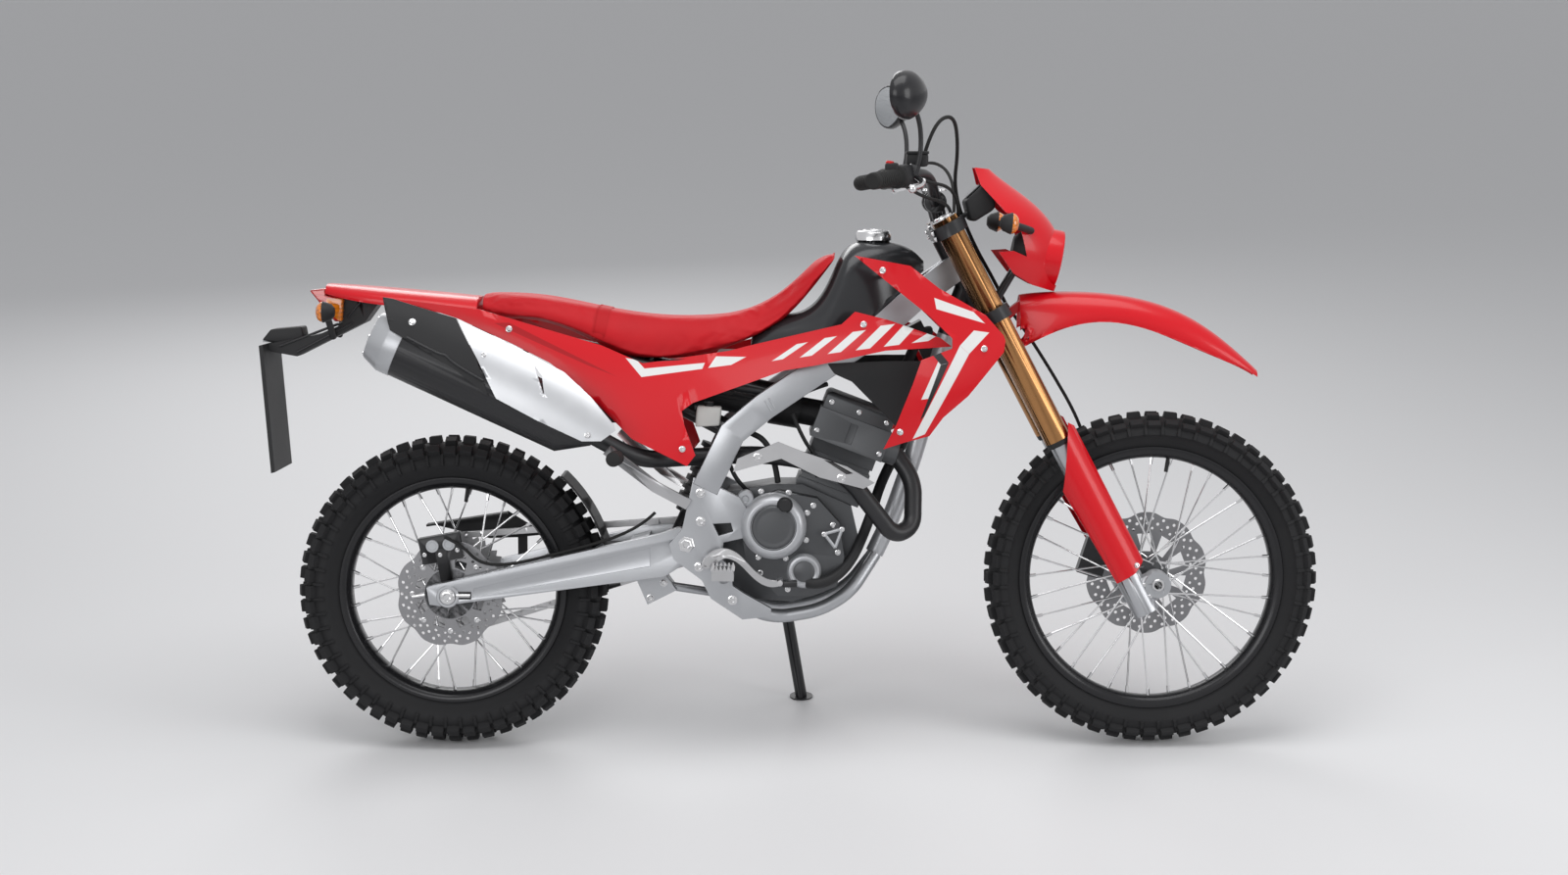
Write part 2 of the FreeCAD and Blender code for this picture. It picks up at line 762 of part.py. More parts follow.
def cradle():
    """Two tubes under the engine, joined by the rear engine bolt."""
    left = tube([spot(*p) for p in CRADLE_SHARES], s.cradle_tube_diameter)
    x, y, z = CRADLE_SHARES[-1]
    reach = PIVOT_PLATE_SIDE_SHARES[0]
    bolt = rod(spot(x, -reach, z), spot(x, reach, z), s.pivot_bolt_diameter)
    return fused(left, mirrored(left), bolt, stand_bracket()).cut(frame_head())


def pivot_plate():
    """The left plate that joins spar, cradle and swingarm pivot."""
    plate = slab(polygon(PIVOT_PLATE_SHARES), *PIVOT_PLATE_SIDE_SHARES)
    window = slab(polygon(PLATE_WINDOW_SHARES), 0, s.body_width / row)
    return plate.cut(window).cut(frame_spar())


def right_pivot_plate():
    """The right plate, cut clear round the clutch cover."""
    centre = spot(*CLUTCH_SHARES)
    radius = s.clutch_radius + s.side_gap
    return mirrored(pivot_plate()).cut(Part.makeCylinder(radius, s.body_width / 2, centre, -LEFT))


def subframe():
    """Rails and struts under the seat, with cross tubes."""
    rail = tube([spot(*p) for p in RAIL_SHARES], s.subframe_tube_diameter)
    strut = rod(spot(*STRUT_SHARES[0]), spot(*STRUT_SHARES[1]), s.subframe_tube_diameter)
    crossings = []
    for x, y, z in (RAIL_SHARES[1], RAIL_SHARES[2]):
        crossings.append(rod(spot(x, -y, z), spot(x, y, z), s.subframe_tube_diameter))
    x, y, z = STRUT_SHARES[0]
    crossings.append(cross_rod((x, z, -STRUT_CROSS_SHARE, STRUT_CROSS_SHARE), s.subframe_tube_diameter))
    return fused(rail, mirrored(rail), strut, mirrored(strut), *crossings)


# Engine
CRANKCASE_SHARES = [
    (-1.98, 4.0),
    (-1.95, 4.8),
    (-1.5, 5.3),
    (-0.6, 5.45),
    (0.0, 5.45),
    (1.0, 5.0),
    (1.16, 4.3),
    (1.0, 3.85),
    (0.8, 3.5),
    (0.45, 3.22),
    (-0.2, 3.02),
    (-1.0, 3.08),
    (-1.45, 3.16),
]
RIGHT_COVER_SHARES = [
    (-1.15, 3.9), (-1.25, 4.6), (-1.0, 5.15), (-0.5, 5.35), (0.3, 5.2), (0.75, 4.7), (0.85, 4.0),
    (0.7, 3.4), (0.2, 3.2), (-0.5, 3.2),
]
LEFT_COVER_SHARES = [
    (-1.0, 3.9), (-1.1, 4.6), (-0.7, 5.1), (0.2, 5.2), (0.85, 4.8), (0.95, 4.1), (0.7, 3.4), (-0.4, 3.3),
]
SPROCKET_COVER_SHARES = [(-1.98, 3.85), (-1.98, 4.65), (-1.5, 4.85), (-0.9, 4.7), (-0.9, 3.8), (-1.5, 3.6)]
CRANKCASE_SIDE_SHARE = 0.64
COVER_SIDE_SHARE = 1.05
SPROCKET_COVER_SIDE_SHARE = 0.92
ENGINE_BOLT_SHARES = (-1.35, 4.95, -1.14, 1.14)
OIL_CAP_SHARES = (-0.36, 5.12)
# The cylinder's foot on the crankcase, and its pieces as shares of the head's height
CYLINDER_SPOT_SHARES = (0.5, 0, 5.2)
CAM_COVER_SHARE = 0.36
RIB_SHARES = (0.18, 0.42, 0.66)
HEAD_SLOT_SHARES = (-0.3, -0.1, 0.1, 0.3)
HEAD_SLOT_WIDTH_SHARE = 0.1
PORT_SHARES = [(1.1, -0.35, 6.3), (1.95, -0.35, 6.05)]
# The airbox in side view, its half width, and the intake from it to the head
AIRBOX_SHARES = [
    (-4.4, 7.94), (-3.2, 7.86), (-2.25, 7.72), (-2.2, 6.95), (-2.7, 6.72), (-4.1, 6.7), (-4.5, 7.2),
]
AIRBOX_HALF_SHARE = 0.55
INTAKE_SHARES = [(-2.25, 0, 7.3), (0.5, 0, 6.82)]
THROTTLE_SHARES = (0.58, 0.8)


def crankcase():
    """The engine's case with its rear mounting bolt and the drive sprocket on its shaft."""
    case = slab(polygon(CRANKCASE_SHARES), -CRANKCASE_SIDE_SHARE, CRANKCASE_SIDE_SHARE)
    bolt = cross_rod(ENGINE_BOLT_SHARES, s.stand_pin_diameter)
    shaft_end = front_sprocket_centre + LEFT * (s.chain_offset + s.sprocket_thickness / 2)
    shaft = rod(front_sprocket_centre, shaft_end, s.pivot_bolt_diameter)
    drive = sprocket(FRONT_TEETH, s.sprocket_thickness, s.stand_pin_diameter)
    drive.translate(front_sprocket_centre + LEFT * s.chain_offset)
    return fused(case, bolt, shaft, drive).cut(cradle())


def on_cylinder(shape):
    """A shape drawn round the upright axis, moved onto the cylinder's line."""
    shape.Placement = Placement(spot(*CYLINDER_SPOT_SHARES), Rotation(LEFT, s.cylinder_tilt))
    return shape


def upright_block(rise, length, width, height):
    """A block round the upright axis, from a rise above the origin."""
    return Part.makeBox(length, width, height, Vector(-length / 2, -width / 2, rise))


def cylinder_block(rise, length, width, height):
    """A block centred on the cylinder's line, from a rise above its foot."""
    return on_cylinder(upright_block(rise, length, width, height))


def groove(rise, length, width):
    """A band round the barrel, one rib gap high and one rib depth deep."""
    outer = cylinder_block(rise, length + s.cut_overrun, width + s.cut_overrun, s.fin_pitch)
    return outer.cut(cylinder_block(rise, length - 2 * s.rib_depth, width - 2 * s.rib_depth, s.fin_pitch))


def cylinder_and_head():
    """Ribbed barrel, slotted head and rounded cam cover, leaning forward."""
    barrel = cylinder_block(0, s.barrel_length, s.barrel_width, s.barrel_height)
    for share in RIB_SHARES:
        barrel = barrel.cut(groove(s.barrel_height * share, s.barrel_length, s.barrel_width))
    head_height = s.head_height * (1 - CAM_COVER_SHARE)
    head = cylinder_block(s.barrel_height, s.head_length, s.head_width, head_height)
    core = cylinder_block(0, s.head_length, s.head_width - 2 * s.rib_depth, s.barrel_height + s.head_height)
    width = s.head_width + s.cut_overrun
    for share in HEAD_SLOT_SHARES:
        rise = s.barrel_height + s.fin_pitch
        slot = upright_block(rise, s.head_length * HEAD_SLOT_WIDTH_SHARE, width, head_height - 2 * s.fin_pitch)
        slot.translate(FRONT * s.head_length * share)
        head = head.cut(on_cylinder(slot).cut(core))
    inset = 2 * s.rib_depth
    rise = s.barrel_height + head_height
    cover = upright_block(rise, s.head_length - inset, s.head_width - inset, s.head_height - head_height)
    top_edges = [edge for edge in cover.Edges if edge.CenterOfMass.z > cover.CenterOfMass.z]
    cover = on_cylinder(cover.makeFillet(s.cover_fillet, top_edges))
    port = rod(spot(*PORT_SHARES[0]), spot(*PORT_SHARES[1]), s.header_diameter + 2 * s.clamp_collar)
    return fused(barrel, head, cover, port).cut(crankcase())


def airbox():
    """The air cleaner's case under the seat, its boot and the throttle body."""
    case = slab(polygon(AIRBOX_SHARES), -AIRBOX_HALF_SHARE, AIRBOX_HALF_SHARE)
    start, end = spot(*INTAKE_SHARES[0]), spot(*INTAKE_SHARES[1])
    boot = rod(start - (end - start).normalize() * s.cut_overrun, end, s.intake_diameter)
    low, high = THROTTLE_SHARES
    run = end - start
    throttle = rod(start + run * low, start + run * high, s.throttle_diameter)
    return fused(case, boot, throttle).cut(cylinder_and_head()).cut(subframe())


def capped(centre, radius, depth, cap_radius):
    """A round cover on the right: a bevelled drum with a raised cap set in a ring groove."""
    bevel = s.clutch_bevel
    drum = Part.makeCylinder(radius, depth - bevel, centre, -LEFT)
    face = centre - LEFT * (depth - bevel)
    rim = Part.makeCone(radius, radius - bevel, bevel, face, -LEFT)
    ring_face = face - LEFT * (bevel - s.cap_depth)
    ring = Part.makeCylinder(cap_radius + s.cap_depth / 2, s.cap_depth, ring_face, -LEFT)
    cap = Part.makeCylinder(cap_radius, bevel + s.cap_depth / 2, face, -LEFT)
    return drum.fuse(rim).cut(ring).fuse(cap)


def right_cover():
    """Clutch and water pump cover, with the oil filler's cap."""
    cover = slab(polygon(RIGHT_COVER_SHARES), -COVER_SIDE_SHARE, -CRANKCASE_SIDE_SHARE)
    face = -COVER_SIDE_SHARE * row
    centre = spot(*CLUTCH_SHARES) + LEFT * face
    clutch = capped(centre, s.clutch_radius, s.clutch_depth, s.clutch_cap_radius)
    centre = spot(*PUMP_SHARES) + LEFT * face
    pump = capped(centre, s.pump_radius, s.clutch_depth / 2, s.pump_radius - s.clutch_bevel - s.cap_depth)
    x, z = OIL_CAP_SHARES
    foot = spot(x, -COVER_SIDE_SHARE, z)
    oil_cap = rod(foot, foot - LEFT * (s.clutch_depth + s.cap_depth), s.oil_cap_diameter)
    return fused(cover, clutch, pump, oil_cap)


def left_cover():
    """Generator cover, and the guard over the drive sprocket."""
    cover = slab(polygon(LEFT_COVER_SHARES), CRANKCASE_SIDE_SHARE, COVER_SIDE_SHARE)
    guard = slab(polygon(SPROCKET_COVER_SHARES), SPROCKET_COVER_SIDE_SHARE, COVER_SIDE_SHARE)
    return fused(cover, guard)


# Exhaust
HEADER_SHARES = [
    (1.9, -0.35, 6.06), (2.28, -0.5, 5.5), (2.25, -0.85, 4.6), (1.85, -1.16, 4.45), (0.89, -1.15, 5.7),
    (0.0, -1.02, 6.0), (-0.9, -0.8, 6.08), (-2.3, -0.72, 6.02), (-3.3, -1.3, 6.0), (-4.3, -1.7, 6.6),
]
MUFFLER_SHARES = [(-4.16, -1.74, 6.54), (-8.55, -1.8, 8.58)]
MUFFLER_TAB_SHARES = [(-5.6, -0.81, 8.44), (-5.6, -1.74, 7.21)]
# The end cap's small radius, and how far back the outlet starts, as shares of the can's radius
END_CAP_SHARE = 0.7
OUTLET_SHARE = 0.4


def header_pipe():
    """The pipe from the port, round under the shield, to the muffler."""
    pipe_run = tube([spot(*p) for p in HEADER_SHARES], s.header_diameter)
    return pipe_run.cut(cylinder_and_head()).cut(muffler())


def muffler():
    """A round can with a coned front, a tapered end cap and an outlet."""
    start, end = spot(*MUFFLER_SHARES[0]), spot(*MUFFLER_SHARES[1])
    along = (end - start).normalize()
    radius = s.muffler_diameter / 2
    cone = Part.makeCone(s.header_diameter / 2 + s.shield_wall, radius, radius, start, along)
    can = rod(start + along * radius, end - along * radius, s.muffler_diameter)
    cap = Part.makeCone(radius, s.outlet_diameter, radius * END_CAP_SHARE, end - along * radius, along)
    outlet = rod(end - along * radius * OUTLET_SHARE, end, s.outlet_diameter)
    tab = rod(spot(*MUFFLER_TAB_SHARES[0]), spot(*MUFFLER_TAB_SHARES[1]), s.lever_diameter).cut(subframe())
    return fused(cone, can, cap, outlet, tab)


# Rear suspension
ARM_SHARES = [
    (-7.55, 3.42), (-2.9, 4.48), (-2.5, 4.62), (-2.12, 4.5), (-2.03, 4.3), (-2.12, 4.05), (-2.8, 3.61),
    (-7.39, 3.0), (-7.6, 3.03), (-7.66, 3.38),
]
ARM_SIDE_SHARES = (0.88, 1.12)
ARM_POCKET_SHARES = [(-6.7, 3.36), (-3.1, 4.2), (-3.1, 3.82), (-6.7, 3.19)]
BRIDGE_SHARES = [(-3.56, 3.6), (-3.56, 4.2), (-3.18, 4.3), (-3.18, 3.65)]
SHOCK_SHARES = [(-1.62, 0, 6.55), (-1.79, 0, 6.18), (-2.42, 0, 4.8), (-3.05, 0, 3.42)]


def swingarm_arm():
    """The left arm with its long pocket, bored for the pivot bolt and the axle."""
    outer = ARM_SIDE_SHARES[1]
    pocket = slab(polygon(ARM_POCKET_SHARES), outer - s.panel_wall / row, outer + s.cut_overrun / row)
    arm = slab(polygon(ARM_SHARES), *ARM_SIDE_SHARES).cut(pocket)
    for centre, bore in ((swing_pivot, s.pivot_bolt_diameter), (rear_axle, s.rear_axle_diameter)):
        reach = LEFT * s.body_width / 2
        arm = arm.cut(rod(centre, centre + reach, bore))
    return arm


def swingarm_bridge():
    """Pivot bolt and the box between the arms."""
    inner = ARM_SIDE_SHARES[0]
    box = slab(polygon(BRIDGE_SHARES), -inner, inner)
    reach = LEFT * PIVOT_PLATE_SIDE_SHARES[0] * row
    bolt = rod(swing_pivot - reach, swing_pivot + reach, s.pivot_bolt_diameter)
    return Part.makeCompound([box, bolt])


def rear_shock():
    """Damper with its coiled spring, from the cross tube down to the linkage."""
    top, seat, low, eye = [spot(*p) for p in SHOCK_SHARES]
    along = (low - seat).normalize()
    damper = rod(top, eye, s.shock_rod_diameter)
    body = rod(seat, low, s.damper_diameter)
    coils = []
    count = int((low - seat).Length / s.spring_pitch)
    for number in range(count + 1):
        start = seat + along * (number * s.spring_pitch)
        coils.append(rod(start, start + along * s.spring_wire, s.spring_diameter))
    return fused(damper, body, *coils).cut(subframe())


LINK_SHARES = [(-3.52, 3.64), (-3.25, 3.66), (-2.85, 3.55), (-2.6, 3.2), (-3.2, 2.9)]
LINK_ROD_SHARES = [(-2.75, 0, 3.25), (-1.3, 0, 3.03)]
LINK_HALF_SHARE = 0.3
LINK_GAP_SHARES = (-3.05, 3.42, -0.12, 0.12)
LINK_ROD_SHARE = 1.5


def shock_linkage():
    """The rocker under the swingarm, and the rods from it to the cradle."""
    rocker = slab(polygon(LINK_SHARES), -LINK_HALF_SHARE, LINK_HALF_SHARE)
    gap = cross_rod(LINK_GAP_SHARES, s.damper_diameter)
    start, end = [spot(*p) for p in LINK_ROD_SHARES]
    rods = rod(start, end, s.stand_pin_diameter * LINK_ROD_SHARE)
    return fused(rocker.cut(gap), rods).cut(cradle()).cut(rear_shock()).cut(swingarm_bridge())


def rear_axle_bar():
    """The rear axle through both arms."""
    reach = LEFT * (ARM_SIDE_SHARES[1] * row + s.axle_end)
    return rod(rear_axle - reach, rear_axle + reach, s.rear_axle_diameter)


# Side stand
STAND_PIVOT_SHARES = (-0.4, 1.55, 2.9)
STAND_FOOT_SHARES = (0.0, 2.5, 0.44)
STAND_LUG_SHARES = (-0.4, 0.62, 2.7)
STAND_HUB_SHARE = 1.5
stand_pivot = spot(*STAND_PIVOT_SHARES)
stand_foot = spot(*STAND_FOOT_SHARES)
stand_axis = Vector(0, math.cos(math.radians(s.stand_tilt)), math.sin(math.radians(s.stand_tilt)))


def stand_bracket():
    """The lug on the cradle that carries the side stand's pin."""
    start = spot(*STAND_LUG_SHARES)
    lug_end = stand_pivot - stand_axis * s.stand_tube_diameter
    lug = rod(start, lug_end, s.stand_tube_diameter)
    pin = rod(lug_end, stand_pivot + stand_axis * s.stand_tube_diameter / 2, s.stand_pin_diameter)
    return fused(lug, pin)


def side_stand(ground):
    """The stand's hub, leg and foot, down."""
    half = s.stand_tube_diameter / 2
    low, high = stand_pivot - stand_axis * (half - s.side_gap), stand_pivot + stand_axis * half
    hub = rod(low, high, s.stand_tube_diameter * STAND_HUB_SHARE)
    leg = rod(stand_pivot, stand_foot, s.stand_tube_diameter)
    lean = math.radians(s.lean_angle)
    up = Vector(0, -math.sin(lean), math.cos(lean))
    drop = up.dot(stand_foot) - ground
    foot_base = stand_foot - up * drop
    foot = Part.makeCylinder(s.stand_tube_diameter, drop, foot_base, up)
    bore = rod(low - stand_axis * half, high + stand_axis * half, s.stand_pin_diameter + 2 * s.pin_gap)
    return fused(hub, leg, foot).cut(bore)


def fuel_tank():
    """The tank with its filler, cut away under the seat and over both spars."""
    foot = spot(*CAP_SHARES)
    filler = rod(foot - UP * s.cap_height, foot + UP * s.cap_height / 2, s.cap_diameter)
    tank = fused(pod(TANK_SHARES).cut(seat_grown()), filler)
    return tank.cut(frame_spar()).cut(mirrored(frame_spar())).cut(frame_head())


def boss(panel, x, z, start_share, carrier, diameter):
    """A panel with a round boss behind it, across the machine, which seats on its carrier."""
    start = spot(x, start_share, z)
    reach = LEFT * math.copysign(s.body_width, start_share)
    pieces_of_pin = rod(start, start + reach, diameter).cut(panel).Solids
    inner = min(pieces_of_pin, key=lambda solid: abs(solid.CenterOfMass.y))
    return panel.fuse(inner.cut(carrier))


def seat_grown():
    """The seat with its seating gap all round."""
    across, up = s.seat_gap / row, s.seat_gap / level
    return pod([(x, half + across, low - up, top + up) for x, half, low, top in SEAT_SHARES])


def ground_under(shape):
    """How far along the leaned machine's upright a tyre reaches down."""
    lean = math.radians(s.lean_angle)
    up = Vector(0, -math.sin(lean), math.cos(lean))
    return min(up.dot(vertex.Point) for vertex in shape.Vertexes)


# Bodywork
# A body's section, as shares of its half width and height
POD_SHARES = [(-1, 0), (-0.98, 0.45), (-0.72, 0.88), (0, 1), (0.72, 0.88), (0.98, 0.45), (1, 0)]


def pod(stops, place=spot):
    """A crowned body through (x, half width, low, top) stops."""
    wires = []
    for x, half, low, top in stops:
        crown = [place(x, a * half, low + u * (top - low)) for a, u in POD_SHARES]
        wires.append(Part.Wire([edge_through(crown), edge_through([crown[-1], crown[0]])]))
    return loft(wires)


SEAT_SHARES = [
    (-6.56, 0.8, 9.0, 9.3), (-6.0, 0.95, 8.9, 9.3), (-4.2, 1.02, 8.4, 9.04), (-3.2, 1.0, 8.02, 8.88),
    (-2.0, 0.98, 8.12, 8.84), (-1.1, 0.92, 8.4, 8.98), (-0.3, 0.8, 8.95, 9.42), (0.2, 0.72, 9.5, 9.88),
    (0.68, 0.62, 10.12, 10.28),
]
TANK_SHARES = [
    (-1.05, 0.95, 8.02, 8.32),
    (-0.2, 1.05, 8.12, 8.9),
    (0.6, 1.08, 8.3, 9.7),
    (0.85, 1.0, 8.45, 10.2),
    (1.4, 0.84, 8.82, 10.42),
    (2.1, 0.4, 9.42, 10.3),
    (2.48, 0.28, 9.8, 10.0),
]
CAP_SHARES = (1.46, 0, 10.42)
TAIL_SHARES = [
    (-9.72, 0.5, 9.34, 9.53), (-8.5, 0.85, 9.12, 9.44), (-7.4, 0.92, 8.98, 9.34), (-6.6, 0.92, 8.8, 9.26),
]
SIDE_COVER_SHARES = [
    (-8.14, 9.25), (-6.5, 9.05), (-6.2, 8.96), (-4.05, 8.33), (-3.22, 7.97), (-2.98, 8.0), (-1.48, 8.22),
    (-1.09, 8.32), (0.78, 8.76), (1.05, 9.01), (1.71, 8.85), (2.76, 8.49), (2.98, 8.32), (1.66, 8.24),
    (0.28, 7.94), (-0.38, 7.83), (-1.95, 7.27), (-2.21, 7.18), (-2.43, 7.02), (-2.38, 6.74), (-2.16, 6.13),
    (-2.33, 5.91), (-3.43, 6.46), (-3.76, 6.8), (-4.47, 7.52), (-5.08, 7.99), (-5.84, 8.37), (-6.94, 8.87),
]
SIDE_COVER_SECTION_SHARES = [
    (-8.3, [(0.95, 9.6), (1.12, 9.2), (1.15, 8.8)]),
    (-6.0, [(1.05, 9.3), (1.3, 8.7), (1.38, 8.0)]),
    (-4.0, [(1.12, 8.7), (1.42, 7.7), (1.5, 6.4)]),
    (-2.5, [(1.15, 8.5), (1.42, 7.3), (1.52, 5.7)]),
    (-1.0, [(1.18, 8.6), (1.4, 7.6), (1.45, 6.8)]),
    (1.0, [(1.22, 9.3), (1.45, 8.6), (1.5, 7.6)]),
    (3.1, [(1.3, 9.2), (1.5, 8.5), (1.55, 7.9)]),
]
# Bosses behind the panels: station, level, and from row to row
SIDE_COVER_BOSS_SHARES = [(-3.4, 7.95, 0.86), (-6.0, 8.56, 0.74), (0.4, 8.5, 1.0)]
SHROUD_BOSS_SHARES = [(1.75, 9.72, 0.4), (2.75, 7.9, 1.2)]
SHROUD_SHARES = [
    (1.04, 10.13), (2.15, 9.93), (2.73, 9.48), (3.64, 8.96), (3.99, 8.56), (4.02, 8.46), (3.99, 8.24),
    (3.29, 7.36), (2.8, 6.92), (2.53, 6.54), (2.03, 6.4), (1.62, 6.26), (1.87, 6.76), (2.19, 7.58),
    (2.36, 8.07), (2.97, 8.3), (2.97, 8.5), (2.51, 8.95), (1.97, 9.38),
]
SHROUD_SECTION_SHARES = [
    (0.9, [(1.15, 10.4), (1.25, 9.5), (1.5, 8.0), (1.4, 6.0)]),
    (2.0, [(1.3, 10.2), (1.6, 9.3), (1.78, 8.0), (1.62, 6.2)]),
    (3.0, [(1.52, 9.6), (1.8, 8.7), (1.94, 7.9), (1.8, 6.8)]),
    (4.1, [(1.78, 9.3), (1.92, 8.6), (1.98, 8.2), (1.92, 7.6)]),
]
PLATE_HOLDER_SHARES = [
    (-8.62, 9.2), (-9.36, 9.32), (-9.42, 8.7), (-9.9, 8.5), (-11.0, 8.3), (-10.9, 8.15), (-10.35, 8.05),
    (-8.95, 8.75),
]
PLATE_BACK_SHARES = [(-11.02, 8.3), (-10.94, 8.32), (-10.74, 5.72), (-10.82, 5.7)]
HOLDER_HALF_SHARE = 0.35
PLATE_HALF_SHARE = 0.9


def trimmed(section_shares, runs, wall, place=spot):
    """A curved panel on the left side, cut to its outline."""
    panel = skin(section_shares, wall, place)
    prism = slab(runs, 0, s.body_width / row, place)
    return panel.common(prism)


def side_cover():
    """The left cover from the tail to the shroud."""
    panel = trimmed(SIDE_COVER_SECTION_SHARES, polygon(SIDE_COVER_SHARES), s.panel_wall)
    carrier = Part.makeCompound([subframe(), fuel_tank()])
    for x, z, start in SIDE_COVER_BOSS_SHARES:
        panel = boss(panel, x, z, start, carrier, s.lever_diameter)
    return panel


def shroud():
    """The left scoop beside the tank."""
    panel = trimmed(SHROUD_SECTION_SHARES, polygon(SHROUD_SHARES), s.panel_wall)
    carrier = Part.makeCompound([radiator(), fuel_tank()])
    for x, z, start in SHROUD_BOSS_SHARES:
        panel = boss(panel, x, z, start, carrier, s.lever_diameter)
    return panel


def plate_holder():
    """The bracket behind the tail and its bare number plate."""
    arm = slab(polygon(PLATE_HOLDER_SHARES), -HOLDER_HALF_SHARE, HOLDER_HALF_SHARE)
    plate = slab(polygon(PLATE_BACK_SHARES), -PLATE_HALF_SHARE, PLATE_HALF_SHARE)
    return fused(arm, plate)


# Fork and what it carries
# Fender places are measured from the lower clamp, and those of the mask, lamps and bar from the upper one
FENDER_STOPS_SHARES = [
    (0.72, 0.42, -0.64, 0.46), (1.57, 0.62, -0.22, 0.52), (2.67, 0.68, -0.09, 0.46),
    (3.87, 0.66, -0.44, 0.16), (4.87, 0.56, -0.86, -0.44), (5.61, 0.3, -1.22, -1.08),
]
FENDER_TONGUE_SHARES = [
    (-0.11, -0.18), (0.37, 0.06), (0.87, 0.45), (1.05, 0.41), (0.42, -0.14), (-0.05, -0.34),
]
FENDER_TONGUE_SIDE_SHARE = 0.12
# The mask's level sections, and its side outline
MASK_SECTION_SHARES = [
    (-1.39, 0.5, 0.88, 2.28), (-0.69, 0.86, 0.78, 2.5), (0.01, 1, 0.68, 2.38),
    (0.61, 0.92, 0.48, 1.88), (1.41, 0.66, 0.08, 0.9),
]
MASK_SHARES = [
    (0.68, 1.31), (1.29, 1.25), (1.67, 1.01), (2.08, 0.61), (2.48, 0.09), (2.58, -0.29), (2.58, -0.99),
    (2.38, -1.23), (1.86, -1.07), (1.45, -0.83), (1.13, -0.39), (1.44, -0.37), (1.72, -0.49),
    (1.54, 0.27), (1.27, 0.41), (0.79, 0.95),
]
MASK_NOSE_SHARE = 0.5
MASK_CHEEK_SHARE = 0.72


def fork_clamps():
    """Both clamps on the steering stem."""
    shapes = [rod(
        fork_spot(s.lower_clamp_height - s.clamp_thickness / 2, 0, 0),
        fork_spot(upper_clamp_height + s.clamp_thickness / 2, 0, 0),
        s.stem_diameter,
    )]
    for height in (s.lower_clamp_height, upper_clamp_height):
        for side in (-1, 1):
            centre = fork_spot(height, s.fork_lead, side * s.fork_spread / 2)
            low, high = centre - head_up * s.clamp_thickness / 2, centre + head_up * s.clamp_thickness / 2
            shapes.append(rod(low, high, s.outer_tube_diameter + 2 * s.clamp_collar))
        length, width = s.outer_tube_diameter, s.fork_spread
        corner = Vector(-length / 2, -width / 2, -s.clamp_thickness / 2)
        plate = Part.makeBox(length, width, s.clamp_thickness, corner)
        plate.Placement = Placement(fork_spot(height, s.fork_lead / 2, 0), Rotation(LEFT, -s.rake_angle))
        shapes.append(plate)
    clamps = fused(*shapes)
    return clamps.cut(outer_tube_core()).cut(mirrored(outer_tube_core()))


def outer_tube_core():
    """The left outer tube, without its bore."""
    low = fork_spot(s.outer_tube_foot, s.fork_lead, s.fork_spread / 2)
    high = fork_spot(outer_tube_top, s.fork_lead, s.fork_spread / 2)
    return rod(low, high, s.outer_tube_diameter)


# The axle clamp's collar and web, as shares of the outer tube's diameter
AXLE_EYE_SHARE = 0.4
AXLE_WEB_SHARE = 0.35
AXLE_WEB_INSET_SHARE = 0.98
AXLE_REACH_SHARE = 0.45


def fork_slider():
    """The left inner tube with the axle clamp at its foot."""
    side = s.fork_spread / 2
    top = fork_spot(s.outer_tube_foot, s.fork_lead, side)
    foot = fork_spot(axle_along, s.fork_lead, side)
    inner = rod(foot, top, s.inner_tube_diameter)
    reach = head_up * s.inner_tube_diameter
    casting = rod(foot - reach, foot + reach, s.outer_tube_diameter)
    at_axle = front_axle + LEFT * side
    half_eye = LEFT * s.outer_tube_diameter * AXLE_EYE_SHARE
    eye = rod(at_axle - half_eye, at_axle + half_eye, s.outer_tube_diameter)
    corners = []
    for centre, turn in ((foot, 1), (at_axle, 1), (at_axle, -1), (foot, -1)):
        corners.append(centre + head_up * turn * s.outer_tube_diameter / 2 * AXLE_WEB_INSET_SHARE)
    web = Part.Face(Part.makePolygon(corners + corners[:1]))
    web.translate(-LEFT * s.outer_tube_diameter * AXLE_WEB_SHARE)
    web = web.extrude(LEFT * s.outer_tube_diameter * AXLE_WEB_SHARE * 2)
    bore = s.front_axle_diameter
    return fused(inner, casting, eye, web).cut(rod(front_axle, front_axle + LEFT * s.body_width / 2, bore))


def front_axle_bar():
    """The hollow front axle, seated in both clamps."""
    reach = LEFT * (s.fork_spread / 2 + s.outer_tube_diameter * AXLE_REACH_SHARE)
    return pipe(front_axle - reach, front_axle + reach, s.front_axle_diameter, s.front_axle_bore)


def sheet_pod(stops, wall, place):
    """A crowned sheet of one wall, open underneath."""
    outer = pod(stops, place)
    inner_stops = []
    for x, half, low, top in stops:
        thin = wall / row
        drop = wall / level
        inner_stops.append((x, half - thin, low - (top - low), top - drop))
    return outer.cut(pod(inner_stops, place))


def front_fender():
    """The high fender under the lower clamp."""
    sheet = sheet_pod(FENDER_STOPS_SHARES, s.panel_wall, fender_spot)
    side = FENDER_TONGUE_SIDE_SHARE
    tongue = slab(polygon(FENDER_TONGUE_SHARES), -side, side, fender_spot)
    return fused(sheet, tongue).cut(fork_clamps())


def headlight_mask():
    """A curved cowl ahead of the fork, through level sections, cut to its side outline."""
    wires = []
    wall = s.panel_wall
    for z, half, rear, front in MASK_SECTION_SHARES:
        cheek = front - MASK_NOSE_SHARE
        outer = [bar_spot(rear, half, z), bar_spot(cheek, half * MASK_CHEEK_SHARE, z), bar_spot(front, 0, z)]
        inner = [outer[0] - LEFT * wall, outer[1] - (LEFT + FRONT) * wall, outer[2] - FRONT * wall]
        outer += [mirror_point(point) for point in outer[1::-1]]
        inner += [mirror_point(point) for point in inner[1::-1]]
        wires.append(band_wire(outer, inner))
    reach = s.body_width / row
    cowl = loft(wires).common(slab(polygon(MASK_SHARES), -reach, reach, bar_spot))
    return cowl.cut(front_lamps()).cut(instrument())


